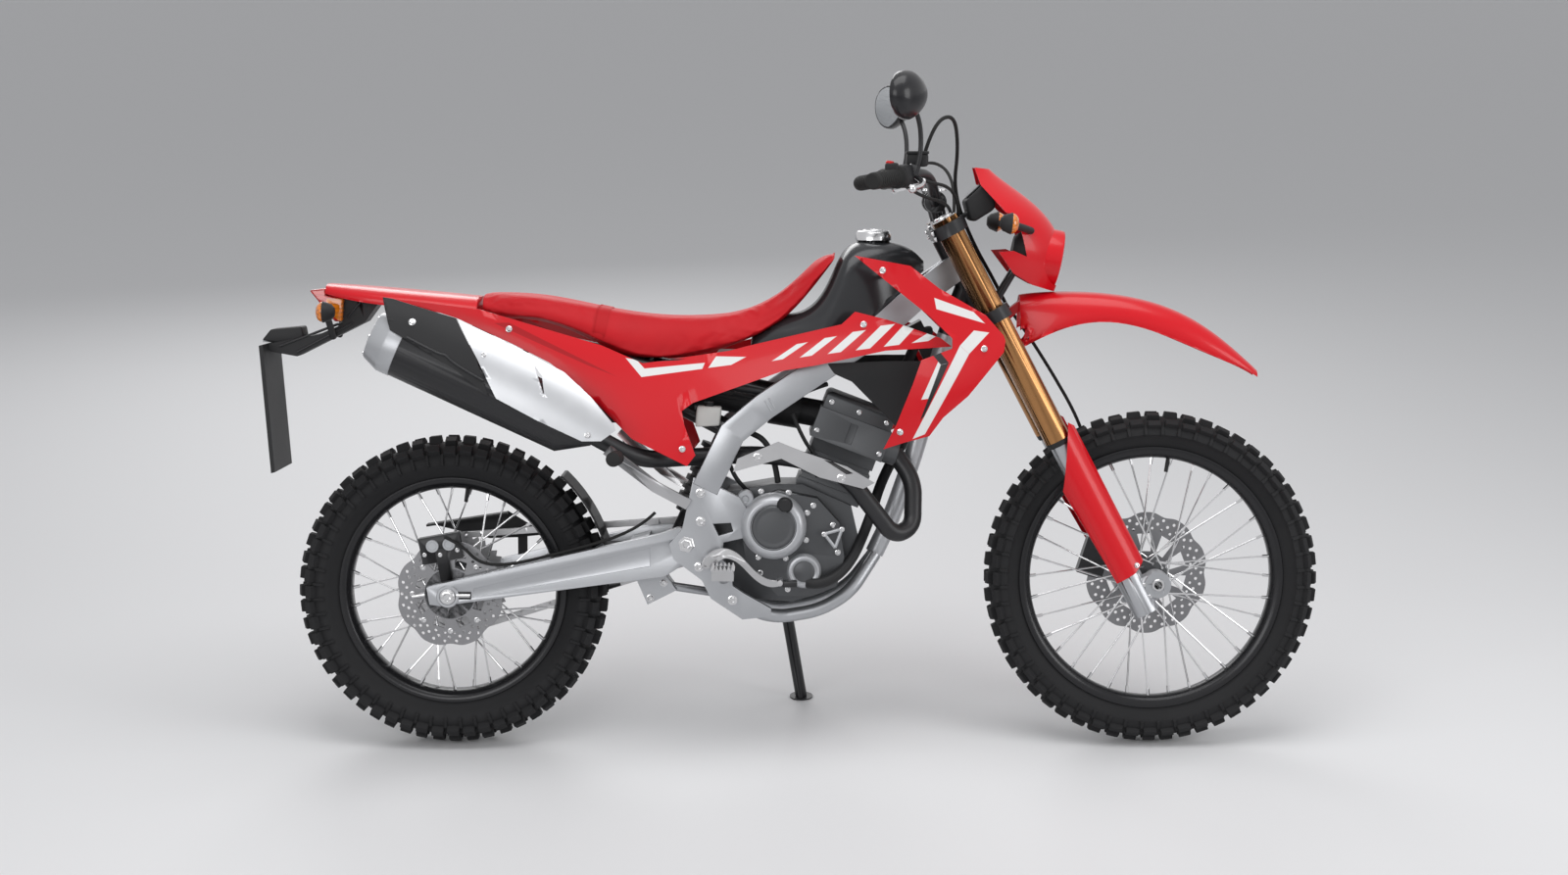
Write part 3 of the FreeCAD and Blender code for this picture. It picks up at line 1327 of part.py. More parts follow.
BAR_SHARES = [
    (-0.12, 0, 0.61), (-0.12, 0.6, 0.61), (-0.32, 1.75, 1.19), (-0.93, 2.9, 1.11), (-1.52, 4.07, 1.01),
]

RISER_SHARE = 0.45


def handlebar():
    """The braceless bar, swept through its bends, on two risers."""
    half = [bar_spot(*p) for p in BAR_SHARES[1:]]
    left = tube(half, s.bar_end_diameter)
    middle = rod(mirror_point(half[0]), half[0], s.bar_diameter)
    risers = []
    for side in (-1, 1):
        top = bar_spot(BAR_SHARES[0][0], side * RISER_SHARE, BAR_SHARES[0][2])
        clamp_top = upper_clamp_height + s.clamp_thickness / 2
        foot = fork_spot(clamp_top, s.fork_lead / 2, side * RISER_SHARE * row)
        risers.append(rod(foot, top, s.stem_diameter))
        half_width = LEFT * s.riser_width / 2
        risers.append(rod(top - half_width, top + half_width, s.bar_diameter + 2 * s.clamp_collar))
    return fused(middle, left, mirrored(left), *risers).cut(fork_clamps())


HOSE_SHARES = [
    (4.25, 0.84, 9.1),
    (4.72, 0.82, 8.45),
    (5.2, 0.76, 7.7),
    (5.75, 0.66, 6.75),
    (6.15, 0.64, 5.6),
    (6.2, 0.62, 4.7),
    (6.1, 0.6, 4.25),
]


def front_brake_hose():
    """The hose from the bar down behind the left leg to the caliper."""
    points = [steer_spot(x, y, z) for x, y, z in HOSE_SHARES]
    return tube(points, s.hose_diameter).cut(fork_clamps()).cut(front_caliper())


# Radiator
RADIATOR_SPOT_SHARE = (2.78, 1.04, 7.82)
RADIATOR_STAY_SHARES = [(2.66, 0.1, 7.4), (2.85, 0.7, 7.4)]


def radiator():
    """The core with its fins, on the left behind the scoop."""
    length, width, depth = s.radiator_height, s.radiator_width, s.radiator_depth
    core = Part.makeBox(depth, width, length, Vector(-depth / 2, -width / 2, -length / 2))
    slots = []
    count = int(length / s.fin_pitch) - 1
    gap = s.fin_pitch - s.fin_thickness
    for number in range(count):
        low = -length / 2 + (number + 1) * s.fin_pitch
        corner = Vector(depth / 2 - s.fin_thickness, s.fin_pitch - width / 2, low)
        slots.append(Part.makeBox(depth, width - 2 * s.fin_pitch, gap, corner))
    core = core.cut(Part.makeCompound(slots))
    core.Placement = Placement(spot(*RADIATOR_SPOT_SHARE), Rotation(LEFT, -s.rake_angle))
    start, end = [spot(*p) for p in RADIATOR_STAY_SHARES]
    bracket = rod(start, end, s.stand_pin_diameter)
    return fused(core, bracket).cut(frame_head())


# Shields on the exhaust
HEADER_SHIELD_SHARES = [
    (-1.4, 5.79), (-1.31, 6.06), (-0.49, 6.4), (0.06, 6.18), (0.89, 5.9), (1.45, 5.57), (1.22, 5.45),
    (0.34, 5.68), (-0.43, 6.06),
]
HEADER_SLOT_SHARES = [(0.42, 6.04), (0.6, 6.0), (1.02, 5.76), (0.88, 5.74)]
MUFFLER_SLOT_SHARES = [(-5.32, 8.0), (-5.16, 7.78), (-5.1, 7.38), (-5.24, 7.76)]
MUFFLER_SHIELD_SHARES = [
    (-6.85, 8.89), (-5.77, 8.39), (-4.74, 7.84), (-4.2, 7.35), (-3.74, 6.81), (-3.71, 6.7), (-3.99, 6.5),
    (-4.37, 6.5), (-5.24, 6.91), (-6.05, 7.35), (-6.42, 8.11),
]
MUFFLER_SHIELD_SECTION_SHARES = [
    (-7.0, [(1.75, 9.1), (2.12, 8.7), (2.42, 7.9)]),
    (-5.6, [(1.8, 8.5), (2.2, 8.0), (2.42, 7.0)]),
    (-3.6, [(1.9, 7.2), (2.22, 6.8), (2.4, 6.3)]),
]
MUFFLER_COVER_SHARES = [
    (-8.31, 9.33), (-8.12, 9.3), (-6.87, 8.91), (-6.44, 8.13), (-6.2, 7.39), (-6.94, 7.99), (-8.13, 8.7),
]
MUFFLER_COVER_SECTION_SHARES = [
    (-8.5, [(1.7, 9.6), (2.1, 9.3), (2.4, 8.5)]),
    (-7.3, [(1.76, 9.3), (2.18, 8.9), (2.42, 8.0)]),
    (-6.0, [(1.78, 8.7), (2.18, 8.2), (2.4, 7.2)]),
]
HEADER_SHIELD_SIDE_SHARES = (-1.48, -1.44)
HEADER_SHIELD_BOSS_SHARES = [(0.05, 6.0, -1.03), (-0.9, 6.06, -0.82)]


def header_shield():
    """The slotted guard over the pipe beside the barrel, on the right."""
    shield = slab(polygon(HEADER_SHIELD_SHARES), *HEADER_SHIELD_SIDE_SHARES)
    for x, z, start in HEADER_SHIELD_BOSS_SHARES:
        shield = boss(shield, x, z, start, header_pipe(), s.lever_diameter)
    inner = HEADER_SHIELD_SIDE_SHARES[1] + s.side_gap / row
    return shield.cut(slab(polygon(HEADER_SLOT_SHARES), -s.body_width / row, inner))


def muffler_shield():
    """The curved guard ahead of the muffler cover, on the right."""
    shield = trimmed(MUFFLER_SHIELD_SECTION_SHARES, polygon(MUFFLER_SHIELD_SHARES), s.shield_wall)
    return mirrored(shield.cut(slab(polygon(MUFFLER_SLOT_SHARES), 0, s.body_width / row)))


def muffler_cover():
    """The rear cover over the muffler, on the right."""
    cover = trimmed(MUFFLER_COVER_SECTION_SHARES, polygon(MUFFLER_COVER_SHARES), s.shield_wall)
    return mirrored(cover).cut(muffler_shield()).cut(muffler())


# Guards and calipers
CHAIN_GUARD_SHARES = [
    (-7.9, 4.44), (-6.2, 4.7), (-5.4, 4.2), (-5.8, 4.16), (-5.8, 3.81), (-6.0, 3.77), (-6.0, 4.14), (-6.6, 4.12),
]
CHAIN_GUARD_TOP_SHARES = [(-7.9, 4.44), (-6.2, 4.7), (-6.19, 4.66), (-7.89, 4.4)]
CHAIN_GUARD_SIDE_SHARES = (0.94, 0.97)
CHAIN_GUARD_TOP_SIDE_SHARES = (0.66, 0.95)
SPLASH_WINDOW_SHARES = [(-3.8, 3.9), (-3.8, 4.6), (-4.5, 5.6), (-5.2, 5.6), (-4.6, 3.9)]
SPLASH_STAY_SHARES = [(-3.56, 3.9), (-4.0, 3.95), (-4.05, 4.15), (-3.56, 4.15)]
SPLASH_STAY_HALF_SHARE = 0.3


def swingarm_guards():
    """Chain guard on the left arm, and the splash guard ahead of the tyre."""
    side = slab(polygon(CHAIN_GUARD_SHARES), *CHAIN_GUARD_SIDE_SHARES)
    top = slab(polygon(CHAIN_GUARD_TOP_SHARES), *CHAIN_GUARD_TOP_SIDE_SHARES)
    guard = fused(side, top)
    tyre_top = s.rear_tyre_radius + 2 * s.running_gap
    half = LEFT * s.splash_width / 2
    outer = rod(rear_axle - half, rear_axle + half, 2 * (tyre_top + s.guard_wall))
    inner = rod(rear_axle - half * 2, rear_axle + half * 2, 2 * tyre_top)
    window = slab(polygon(SPLASH_WINDOW_SHARES), -s.splash_width / row, s.splash_width / row)
    stay = slab(polygon(SPLASH_STAY_SHARES), -SPLASH_STAY_HALF_SHARE, SPLASH_STAY_HALF_SHARE)
    splash = fused(outer.common(window), stay).cut(inner)
    return Part.makeCompound([guard.cut(swingarm_arm()), splash])


def caliper(disc_radius, offset, angle, centre, half_inner, half_outer):
    """A block over a disc's edge, slotted with running clearance, before its bracket."""
    length, height = s.caliper_length, s.caliper_height
    width = half_inner + half_outer
    radius = disc_radius - height / 4
    edge = disc_radius + s.running_gap - radius
    block = Part.makeBox(length, width, height, Vector(-length / 2, -half_inner, -height / 2))
    slot = s.disc_thickness / 2 + s.running_gap
    gap = Part.makeBox(2 * length, 2 * slot, height, Vector(-length, -slot, edge - height))
    block = block.cut(gap)
    block.Placement = Placement(centre + turned((offset, radius), angle), Rotation(LEFT, angle))
    return block


# Where the calipers sit round their discs, in degrees from straight up
FRONT_CALIPER_ANGLE = -72
FRONT_LUG_ANGLE = -62
REAR_CALIPER_ANGLE = -10
FRONT_LUG_SHARE = 1.4


def front_caliper():
    """The front caliper behind the left leg, with its lug on the leg."""
    middle = s.front_disc_radius - s.caliper_height / 4
    half = s.caliper_half
    block = caliper(s.front_disc_radius, s.front_disc_offset, FRONT_CALIPER_ANGLE, front_axle, half, half)
    lug_from = front_axle + turned((s.front_disc_offset + half - s.running_gap, middle), FRONT_LUG_ANGLE)
    lug_to = lug_from + LEFT * half * FRONT_LUG_SHARE
    return fused(block, rod(lug_from, lug_to, s.pivot_bolt_diameter)).cut(fork_slider())


def rear_caliper():
    """The rear caliper above the axle, on a bracket that sits on the axle."""
    middle = s.rear_disc_radius - s.caliper_height / 4
    half = s.caliper_rear_half
    block = caliper(s.rear_disc_radius, -s.rear_disc_offset, REAR_CALIPER_ANGLE, rear_axle, half, half)
    face = ARM_SIDE_SHARES[0] * row - s.seat_gap
    start = rear_axle - LEFT * face
    plate = Part.makeCylinder(s.pivot_bolt_diameter, s.bracket_wall, start, LEFT)
    arm = Part.makeBox(s.pivot_bolt_diameter, s.bracket_wall, middle, -FRONT * s.pivot_bolt_diameter / 2)
    arm.Placement = Placement(start, Rotation(LEFT, REAR_CALIPER_ANGLE))
    reach = LEFT * s.body_width / 2
    return fused(block, plate, arm).cut(rod(rear_axle - reach, rear_axle, s.rear_axle_diameter))


# Small parts
PEG_SHARES = (-1.6, 1.6, 3.68)
PEG_MOUNT_SHARES = [(-1.6, 1.28, 3.6), (-1.6, 1.65, 3.74)]
HANGER_SHARES = [(-2.3, 1.37, 5.12), (-2.95, 1.62, 5.5), (-3.9, 2.04, 6.3)]
REAR_PEG_SHARES = [(-3.7, 1.95, 6.13), (-3.74, 2.6, 6.16)]


def foot_pegs():
    """Rider's and passenger's pegs, each with its bracket, on both sides."""
    start = spot(*PEG_SHARES)
    peg = Part.makeBox(s.peg_width, s.peg_length, s.peg_width / 2, start - FRONT * s.peg_width / 2)
    mount = rod(spot(*PEG_MOUNT_SHARES[0]), spot(*PEG_MOUNT_SHARES[1]), s.pivot_bolt_diameter)
    rider = fused(peg, mount).cut(pivot_plate())
    hanger = beam([spot(*p) for p in HANGER_SHARES], s.hanger_height, s.hanger_thickness)
    rear_peg = rod(spot(*REAR_PEG_SHARES[0]), spot(*REAR_PEG_SHARES[1]), s.pivot_bolt_diameter)
    passenger = fused(hanger, rear_peg).cut(pivot_plate()).cut(frame_spar())
    return Part.makeCompound([rider, mirrored(rider), passenger, mirrored(passenger)])


# Side views of the levers, their sides, and their cross pieces as (x, z, from row, to row)
PEDAL_RUNS_SHARES = [
    [(-2.05, 3.88), (-1.92, 4.12), (-1.64, 4.25), (-1.35, 4.17), (-1.07, 3.9), (-0.78, 3.66), (-0.42, 3.61)],
    [(-0.42, 3.61), (-0.42, 3.5)],
    [(-0.42, 3.5), (-0.78, 3.5), (-1.07, 3.72), (-1.35, 3.98), (-1.59, 4.04), (-1.84, 3.86), (-2.05, 3.88)],
]
PEDAL_SIDE_SHARES = (-1.56, -1.48)
PEDAL_PIN_SHARES = (-1.86, 3.98, -1.32, -1.58)
PEDAL_PAD_SHARES = (-0.46, 3.59, -1.48, -1.9)
GEAR_LEVER_SHARES = [(-0.98, 3.72), (-0.9, 3.84), (-0.3, 3.76), (0.2, 3.88), (0.3, 3.78), (-0.3, 3.64)]
GEAR_LEVER_SIDE_SHARES = (1.4, 1.47)
GEAR_SHAFT_SHARES = (-0.9, 3.76, 1.05, 1.42)
GEAR_TOE_SHARES = (0.2, 3.81, 1.44, 1.86)


def foot_levers():
    """Brake pedal on the right, gear lever on the left."""
    pedal = slab(PEDAL_RUNS_SHARES, *PEDAL_SIDE_SHARES)
    pin = cross_rod(PEDAL_PIN_SHARES, s.pivot_bolt_diameter)
    pad = cross_rod(PEDAL_PAD_SHARES, s.lever_diameter)
    lever = slab(polygon(GEAR_LEVER_SHARES), *GEAR_LEVER_SIDE_SHARES)
    shaft = cross_rod(GEAR_SHAFT_SHARES, s.lever_diameter)
    toe = cross_rod(GEAR_TOE_SHARES, s.lever_diameter)
    return Part.makeCompound([fused(pedal, pin, pad), fused(lever, shaft, toe)])


TAIL_LAMP_SHARES = [(-10.08, 9.42), (-9.7, 9.46), (-9.7, 9.3), (-9.34, 9.26), (-9.38, 8.74), (-9.56, 8.74)]
TAIL_LAMP_HALF_SHARE = 0.5
REAR_SIGNAL_SHARES = [(-9.8, 1.2, 9.0), (-9.45, 1.2, 9.0)]
REAR_STALK_SHARES = [(-9.6, 0.36, 8.45), (-9.6, 1.1, 8.95)]
HEADLAMP_SHARES = [
    (1.48, 0, -0.37), (2.54, 0, -0.57),
]
FRONT_SIGNAL_SHARES = [
    (1.13, 1.65, 0.21), (1.5, 1.65, 0.16),
]
FRONT_STALK_SHARES = [
    (1.8, 0.8, 0.03), (1.33, 1.6, 0.16),
]
LAMP_STRUT_SHARES = [
    (1.08, 0.3, -1.54), (1.63, 0.3, -0.61),
]


def rear_lamps():
    """Tail lamp under the tail's end, and the two rear signals on their stalks."""
    half = TAIL_LAMP_HALF_SHARE
    lamp = slab(polygon(TAIL_LAMP_SHARES), -half, half).cut(pod(TAIL_SHARES)).cut(plate_holder())
    signal = rod(spot(*REAR_SIGNAL_SHARES[0]), spot(*REAR_SIGNAL_SHARES[1]), s.signal_diameter)
    stalk = rod(spot(*REAR_STALK_SHARES[0]), spot(*REAR_STALK_SHARES[1]), s.lever_diameter)
    left = fused(signal, stalk)
    holder = plate_holder()
    return Part.makeCompound([lamp, left.cut(holder), mirrored(left).cut(holder)])


def front_lamps():
    """Headlamp in the mask, and the two front signals."""
    lamp = rod(bar_spot(*HEADLAMP_SHARES[0]), bar_spot(*HEADLAMP_SHARES[1]), s.headlamp_diameter)
    signal = rod(bar_spot(*FRONT_SIGNAL_SHARES[0]), bar_spot(*FRONT_SIGNAL_SHARES[1]), s.signal_diameter)
    stalk = rod(bar_spot(*FRONT_STALK_SHARES[0]), bar_spot(*FRONT_STALK_SHARES[1]), s.lever_diameter)
    left = fused(signal, stalk)
    strut = rod(bar_spot(*LAMP_STRUT_SHARES[0]), bar_spot(*LAMP_STRUT_SHARES[1]), s.lever_diameter)
    strut = strut.cut(fork_clamps())
    return Part.makeCompound([fused(lamp, strut, mirrored(strut)), left, mirrored(left)])


MIRROR_DOME_SHARES = [(0, 1), (0.5, 0.94), (0.85, 0.72), (1, 0.4)]
MIRROR_SPOT_SHARES = (-0.87, 3.3, 2.77)
MIRROR_STEM_SHARES = [(-0.56, 2.8, 1.01), (-0.54, 2.85, 1.91), (-0.76, 3.22, 2.66)]
MIRROR_POINTS = 8
MIRROR_TURN = 12
LEVER_SHARES = [(-0.47, 2.85, 0.96), (-0.77, 3.9, 0.86)]
INSTRUMENT_SHARES = [(0.13, 1.31), (0.43, 1.43), (0.68, 0.91), (0.38, 0.79)]
INSTRUMENT_HALF_SHARE = 0.55
INSTRUMENT_STAY_SHARES = (0.38, 0.25, 0.91)


def mirrors():
    """Two oval mirrors, domed ahead and flat behind, on bent stems."""
    wires = []
    for depth, share in MIRROR_DOME_SHARES:
        points = []
        for number in range(MIRROR_POINTS):
            angle = number * math.tau / MIRROR_POINTS
            across = math.cos(angle) * share * s.mirror_width / 2
            points.append(Vector(depth * s.mirror_depth, across, math.sin(angle) * share * s.mirror_height / 2))
        rim = Part.BSplineCurve()
        rim.interpolate(points, PeriodicFlag=True)
        wires.append(Part.Wire([rim.toShape()]))
    dome = loft(wires)
    dome.Placement = Placement(bar_spot(*MIRROR_SPOT_SHARES), Rotation(UP, MIRROR_TURN))
    stem = tube([bar_spot(*p) for p in MIRROR_STEM_SHARES], s.mirror_stem_diameter)
    left = fused(dome, stem).cut(bar_controls())
    return pair(left)


def bar_controls():
    """Grips on the bar's ends, and perches with their levers."""
    end, inner = bar_spot(*BAR_SHARES[-1]), bar_spot(*BAR_SHARES[-2])
    along = (inner - end).normalize()
    grip = rod(end, end + along * s.grip_length, s.grip_diameter)
    perch_from = end + along * (s.grip_length + s.running_gap)
    perch = rod(perch_from, perch_from + along * s.perch_length, s.grip_diameter)
    lever_from = perch_from + along * s.perch_length / 2
    lever = tube([lever_from] + [bar_spot(*p) for p in LEVER_SHARES], s.lever_diameter)
    perch = fused(perch, lever)
    bore = handlebar()
    grip, perch = grip.cut(bore), perch.cut(bore)
    return Part.makeCompound([grip, mirrored(grip), perch, mirrored(perch)])


def instrument():
    """The gauge ahead of the bar, on two stays from the upper clamp."""
    body = slab(polygon(INSTRUMENT_SHARES), -INSTRUMENT_HALF_SHARE, INSTRUMENT_HALF_SHARE, bar_spot)
    x, y, z = INSTRUMENT_STAY_SHARES
    stays = []
    for side in (-1, 1):
        foot = fork_spot(upper_clamp_height + s.clamp_thickness / 2 + s.pin_gap, s.fork_lead, side * y * row)
        stays.append(rod(foot, bar_spot(x, side * y, z), s.lever_diameter))
    return fused(body, *stays).cut(fork_clamps()).cut(handlebar())


GUARD_SHARES = [(5.37, 6.76), (5.51, 6.69), (6.94, 3.94), (6.75, 3.7), (6.39, 3.48), (5.29, 5.34)]
GUARD_SIDE_SHARES = (1.0, 1.6)


def fork_guard():
    """The left guard: a part of a round shell ahead of and outside the slider."""
    low = fork_spot(s.guard_foot, s.fork_lead, s.fork_spread / 2 - s.guard_inset)
    high = fork_spot(s.guard_top, s.fork_lead, s.fork_spread / 2 - s.guard_inset)
    reach = head_up * s.cut_overrun
    hollow = rod(low - reach, high + reach, 2 * (s.guard_radius - s.guard_wall))
    shell = rod(low, high, 2 * s.guard_radius).cut(hollow)
    return shell.common(slab(polygon(GUARD_SHARES), *GUARD_SIDE_SHARES, steer_spot))



# Every sub-part
front_tyre = knobbly_tyre(
    s.front_tyre_radius, s.front_tyre_width, s.front_lug_height, s.front_lug_length,
    s.front_bead_radius, s.front_rim_width,
)
rear_tyre = knobbly_tyre(
    s.rear_tyre_radius, s.rear_tyre_width, s.rear_lug_height, s.rear_lug_length,
    s.rear_bead_radius, s.rear_rim_width,
)
front_place, rear_place = Placement(front_axle, Rotation()), Placement(rear_axle, Rotation())
add_piece("front_tyre", front_tyre, front_place)
add_piece("rear_tyre", rear_tyre, rear_place)
add_piece("front_wheel", spoked_wheel(
    s.front_bead_radius, s.front_rim_width, s.front_hub_radius, s.front_hub_width,
    s.front_flange_radius, s.front_flange_offset, s.front_axle_diameter + 2 * s.pin_gap,
    [(1, s.front_disc_offset + s.disc_thickness / 2, s.front_flange_radius - s.seat_gap)],
), front_place)
add_piece("rear_wheel", spoked_wheel(
    s.rear_bead_radius, s.rear_rim_width, s.rear_hub_radius, s.rear_hub_width,
    s.rear_flange_radius, s.rear_flange_offset, s.rear_axle_diameter + 2 * s.pin_gap,
    [
        (-1, s.rear_disc_offset + s.disc_thickness / 2, s.rear_flange_radius - s.seat_gap),
        (1, s.chain_offset + s.sprocket_thickness / 2, s.rear_hub_radius - s.seat_gap),
    ],
), rear_place)
add_piece("front_disc", brake_disc("front_disc", "front_disc_radius", "front_flange_radius"),
          Placement(front_axle + LEFT * s.front_disc_offset, Rotation()))
add_piece("rear_disc", brake_disc("rear_disc", "rear_disc_radius", "rear_flange_radius"),
          Placement(rear_axle - LEFT * s.rear_disc_offset, Rotation()))
teeth = sprocket(REAR_TEETH, s.sprocket_thickness, s.rear_hub_radius * 2)
add_piece("rear_sprocket", teeth, Placement(rear_axle + LEFT * s.chain_offset, Rotation()))
add_piece("chain", drive_chain())
leaned_tyre = front_tyre.copy()
leaned_tyre.translate(front_axle)
ground = ground_under(leaned_tyre)
add_piece("side_stand", side_stand(ground))
tail = pod(TAIL_SHARES)
for name, shape in (
    ("frame_head", frame_head()),
    ("frame_spar_left", frame_spar()),
    ("frame_spar_right", mirrored(frame_spar())),
    ("pivot_plate_left", pivot_plate()),
    ("pivot_plate_right", right_pivot_plate()),
    ("cradle", cradle()),
    ("subframe", subframe()),
    ("crankcase", crankcase()),
    ("cylinder", cylinder_and_head()),
    ("airbox", airbox()),
    ("engine_cover_right", right_cover()),
    ("engine_cover_left", left_cover()),
    ("radiator", radiator()),
    ("header_pipe", header_pipe()),
    ("header_shield", header_shield()),
    ("muffler", muffler()),
    ("muffler_shield", muffler_shield()),
    ("muffler_cover", muffler_cover()),
    ("swingarm_left", swingarm_arm()),
    ("swingarm_right", mirrored(swingarm_arm())),
    ("swingarm_bridge", swingarm_bridge()),
    ("rear_shock", rear_shock()),
    ("shock_linkage", shock_linkage()),
    ("rear_axle", rear_axle_bar()),
    ("swingarm_guards", swingarm_guards()),
    ("rear_caliper", rear_caliper()),
    ("seat", pod(SEAT_SHARES)),
    ("fuel_tank", fuel_tank()),
    ("side_cover_left", side_cover()),
    ("side_cover_right", mirrored(side_cover())),
    ("shroud_left", shroud()),
    ("shroud_right", mirrored(shroud())),
    ("tail_fender", tail),
    ("plate_holder", plate_holder().cut(tail)),
    ("rear_lamps", rear_lamps()),
    ("foot_pegs", foot_pegs()),
    ("foot_levers", foot_levers()),
    ("fork_clamps", fork_clamps()),
    ("fork_outer_tubes", pair(outer_tube_core())),
    ("fork_sliders", pair(fork_slider())),
    ("fork_guards", pair(fork_guard())),
    ("front_axle", front_axle_bar()),
    ("front_fender", front_fender()),
    ("headlight_mask", headlight_mask()),
    ("front_lamps", front_lamps()),
    ("instrument", instrument()),
    ("handlebar", handlebar()),
    ("bar_controls", bar_controls()),
    ("mirrors", mirrors()),
    ("front_caliper", front_caliper()),
    ("brake_hose", front_brake_hose()),
):
    add_piece(name, shape)

# Lean the whole machine, and stand it on the ground
lean = Placement(HERE, Rotation(FRONT, -s.lean_angle))
box = FreeCAD.BoundBox()
for name, item, place in pieces:
    item.Placement = lean.multiply(place)
    box.add(item.Shape.BoundBox)
shift = Vector(-(box.XMin + box.XMax) / 2, -(box.YMin + box.YMax) / 2, -box.ZMin)
for name, item, place in pieces:
    item.Placement = Placement(shift, Rotation()).multiply(item.Placement)
doc.recompute()

# Check everything, then write one file for each sub-part
for item in doc.Objects:
    if {"Invalid", "Error"} & set(item.State):
        raise RuntimeError(f"{item.Label} did not build: {item.State}")
os.makedirs("parts", exist_ok=True)
for name, item, place in pieces:
    if item.Shape.isNull() or not item.Shape.isValid():
        raise RuntimeError(f"{name} has no valid shape")
    item.Shape.exportStep(f"parts/{name}.step")
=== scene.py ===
"""Dual sport motorcycle: finishes and modelled detail around the fixed frame.

Every piece is modelled with the machine upright: X forward, Y to the rider's left, Z up, origin on the
ground midway between the axles. settle() then leans it over with the frame and rides it on its body.
"""
import bpy
import json
import math
from mathutils import Matrix, Vector

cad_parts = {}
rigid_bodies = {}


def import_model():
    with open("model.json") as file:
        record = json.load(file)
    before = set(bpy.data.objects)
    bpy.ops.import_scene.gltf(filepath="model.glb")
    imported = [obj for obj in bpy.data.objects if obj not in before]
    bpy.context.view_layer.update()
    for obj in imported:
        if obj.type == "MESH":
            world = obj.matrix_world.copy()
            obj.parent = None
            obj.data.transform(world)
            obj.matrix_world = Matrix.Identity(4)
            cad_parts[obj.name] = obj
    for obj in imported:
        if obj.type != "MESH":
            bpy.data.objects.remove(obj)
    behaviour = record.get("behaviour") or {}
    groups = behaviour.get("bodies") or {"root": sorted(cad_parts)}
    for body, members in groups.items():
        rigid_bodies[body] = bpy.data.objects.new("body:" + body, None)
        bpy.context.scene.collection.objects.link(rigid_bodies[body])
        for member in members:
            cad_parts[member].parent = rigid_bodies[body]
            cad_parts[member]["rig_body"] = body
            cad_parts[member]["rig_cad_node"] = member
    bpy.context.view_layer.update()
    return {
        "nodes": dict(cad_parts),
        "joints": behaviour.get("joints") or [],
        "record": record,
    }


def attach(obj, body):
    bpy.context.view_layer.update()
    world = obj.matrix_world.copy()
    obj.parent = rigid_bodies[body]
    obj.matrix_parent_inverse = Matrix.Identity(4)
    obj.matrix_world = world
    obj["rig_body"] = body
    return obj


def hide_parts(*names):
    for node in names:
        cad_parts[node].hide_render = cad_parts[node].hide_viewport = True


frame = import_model()
nodes = frame["nodes"]
joints = {joint["name"]: joint for joint in frame["joints"]}
NODE_SLOTS = {item["node"]: item["material_slot"] for item in frame["record"]["subparts"]}

# Driving sizes in metres, and the rake as an angle
HALF_WHEELBASE = 0.7225
FRONT_RADIUS = 0.345
REAR_RADIUS = 0.32
RAKE = math.radians(27.6)
TRAIL = 0.113
FORK_SIDE = 0.1
FORK_LEAD = 0.015

# The machine's own axes in the leaning frame
LEFT = Vector(joints["front_wheel_spin"]["axis"]).normalized()
FRONT = Vector((1, 0, 0))
UP = FRONT.cross(LEFT)
GROUND = Vector(joints["front_wheel_spin"]["pos_m"]) - FRONT * HALF_WHEELBASE - UP * FRONT_RADIUS
UPRIGHT = Matrix.Translation(GROUND) @ Matrix((FRONT, LEFT, UP)).transposed().to_4x4()
HEAD_UP = Vector((-math.sin(RAKE), 0, math.cos(RAKE)))
HEAD_AHEAD = Vector((math.cos(RAKE), 0, math.sin(RAKE)))
HEAD_FOOT = Vector((HALF_WHEELBASE + TRAIL, 0, 0))
FRONT_AXLE = Vector((HALF_WHEELBASE, 0, FRONT_RADIUS))
REAR_AXLE = Vector((-HALF_WHEELBASE, 0, REAR_RADIUS))
ACROSS = Vector((0, 1, 0))
RIGHT = Vector((0, -1, 0))


def fork_spot(along, ahead=0.0, side=0.0):
    """A point up the steering axis from the ground, ahead of it and to the left."""
    return HEAD_FOOT + HEAD_UP * along + HEAD_AHEAD * ahead + ACROSS * side


# Shader maths
OUTLINE_SOFTNESS = 0.0005


class Value:
    """A number in a material's nodes, with arithmetic."""

    def __init__(self, shade, socket):
        self.shade, self.socket = shade, socket

    def math(self, operation, *others):
        return self.shade.node("Math", {"operation": operation}, self, *others)

    def __add__(self, other):
        return self.math("ADD", other)

    def __sub__(self, other):
        return self.math("SUBTRACT", other)

    def __mul__(self, other):
        return self.math("MULTIPLY", other)

    __radd__, __rmul__ = __add__, __mul__

    def least(self, other):
        return self.math("MINIMUM", other)

    def most(self, other):
        return self.math("MAXIMUM", other)

    def above(self, edge, soft):
        """1 where this is over the edge, with a soft step."""
        ramp = (self - (edge - soft)) * (0.5 / soft)
        return ramp.most(0).least(1)


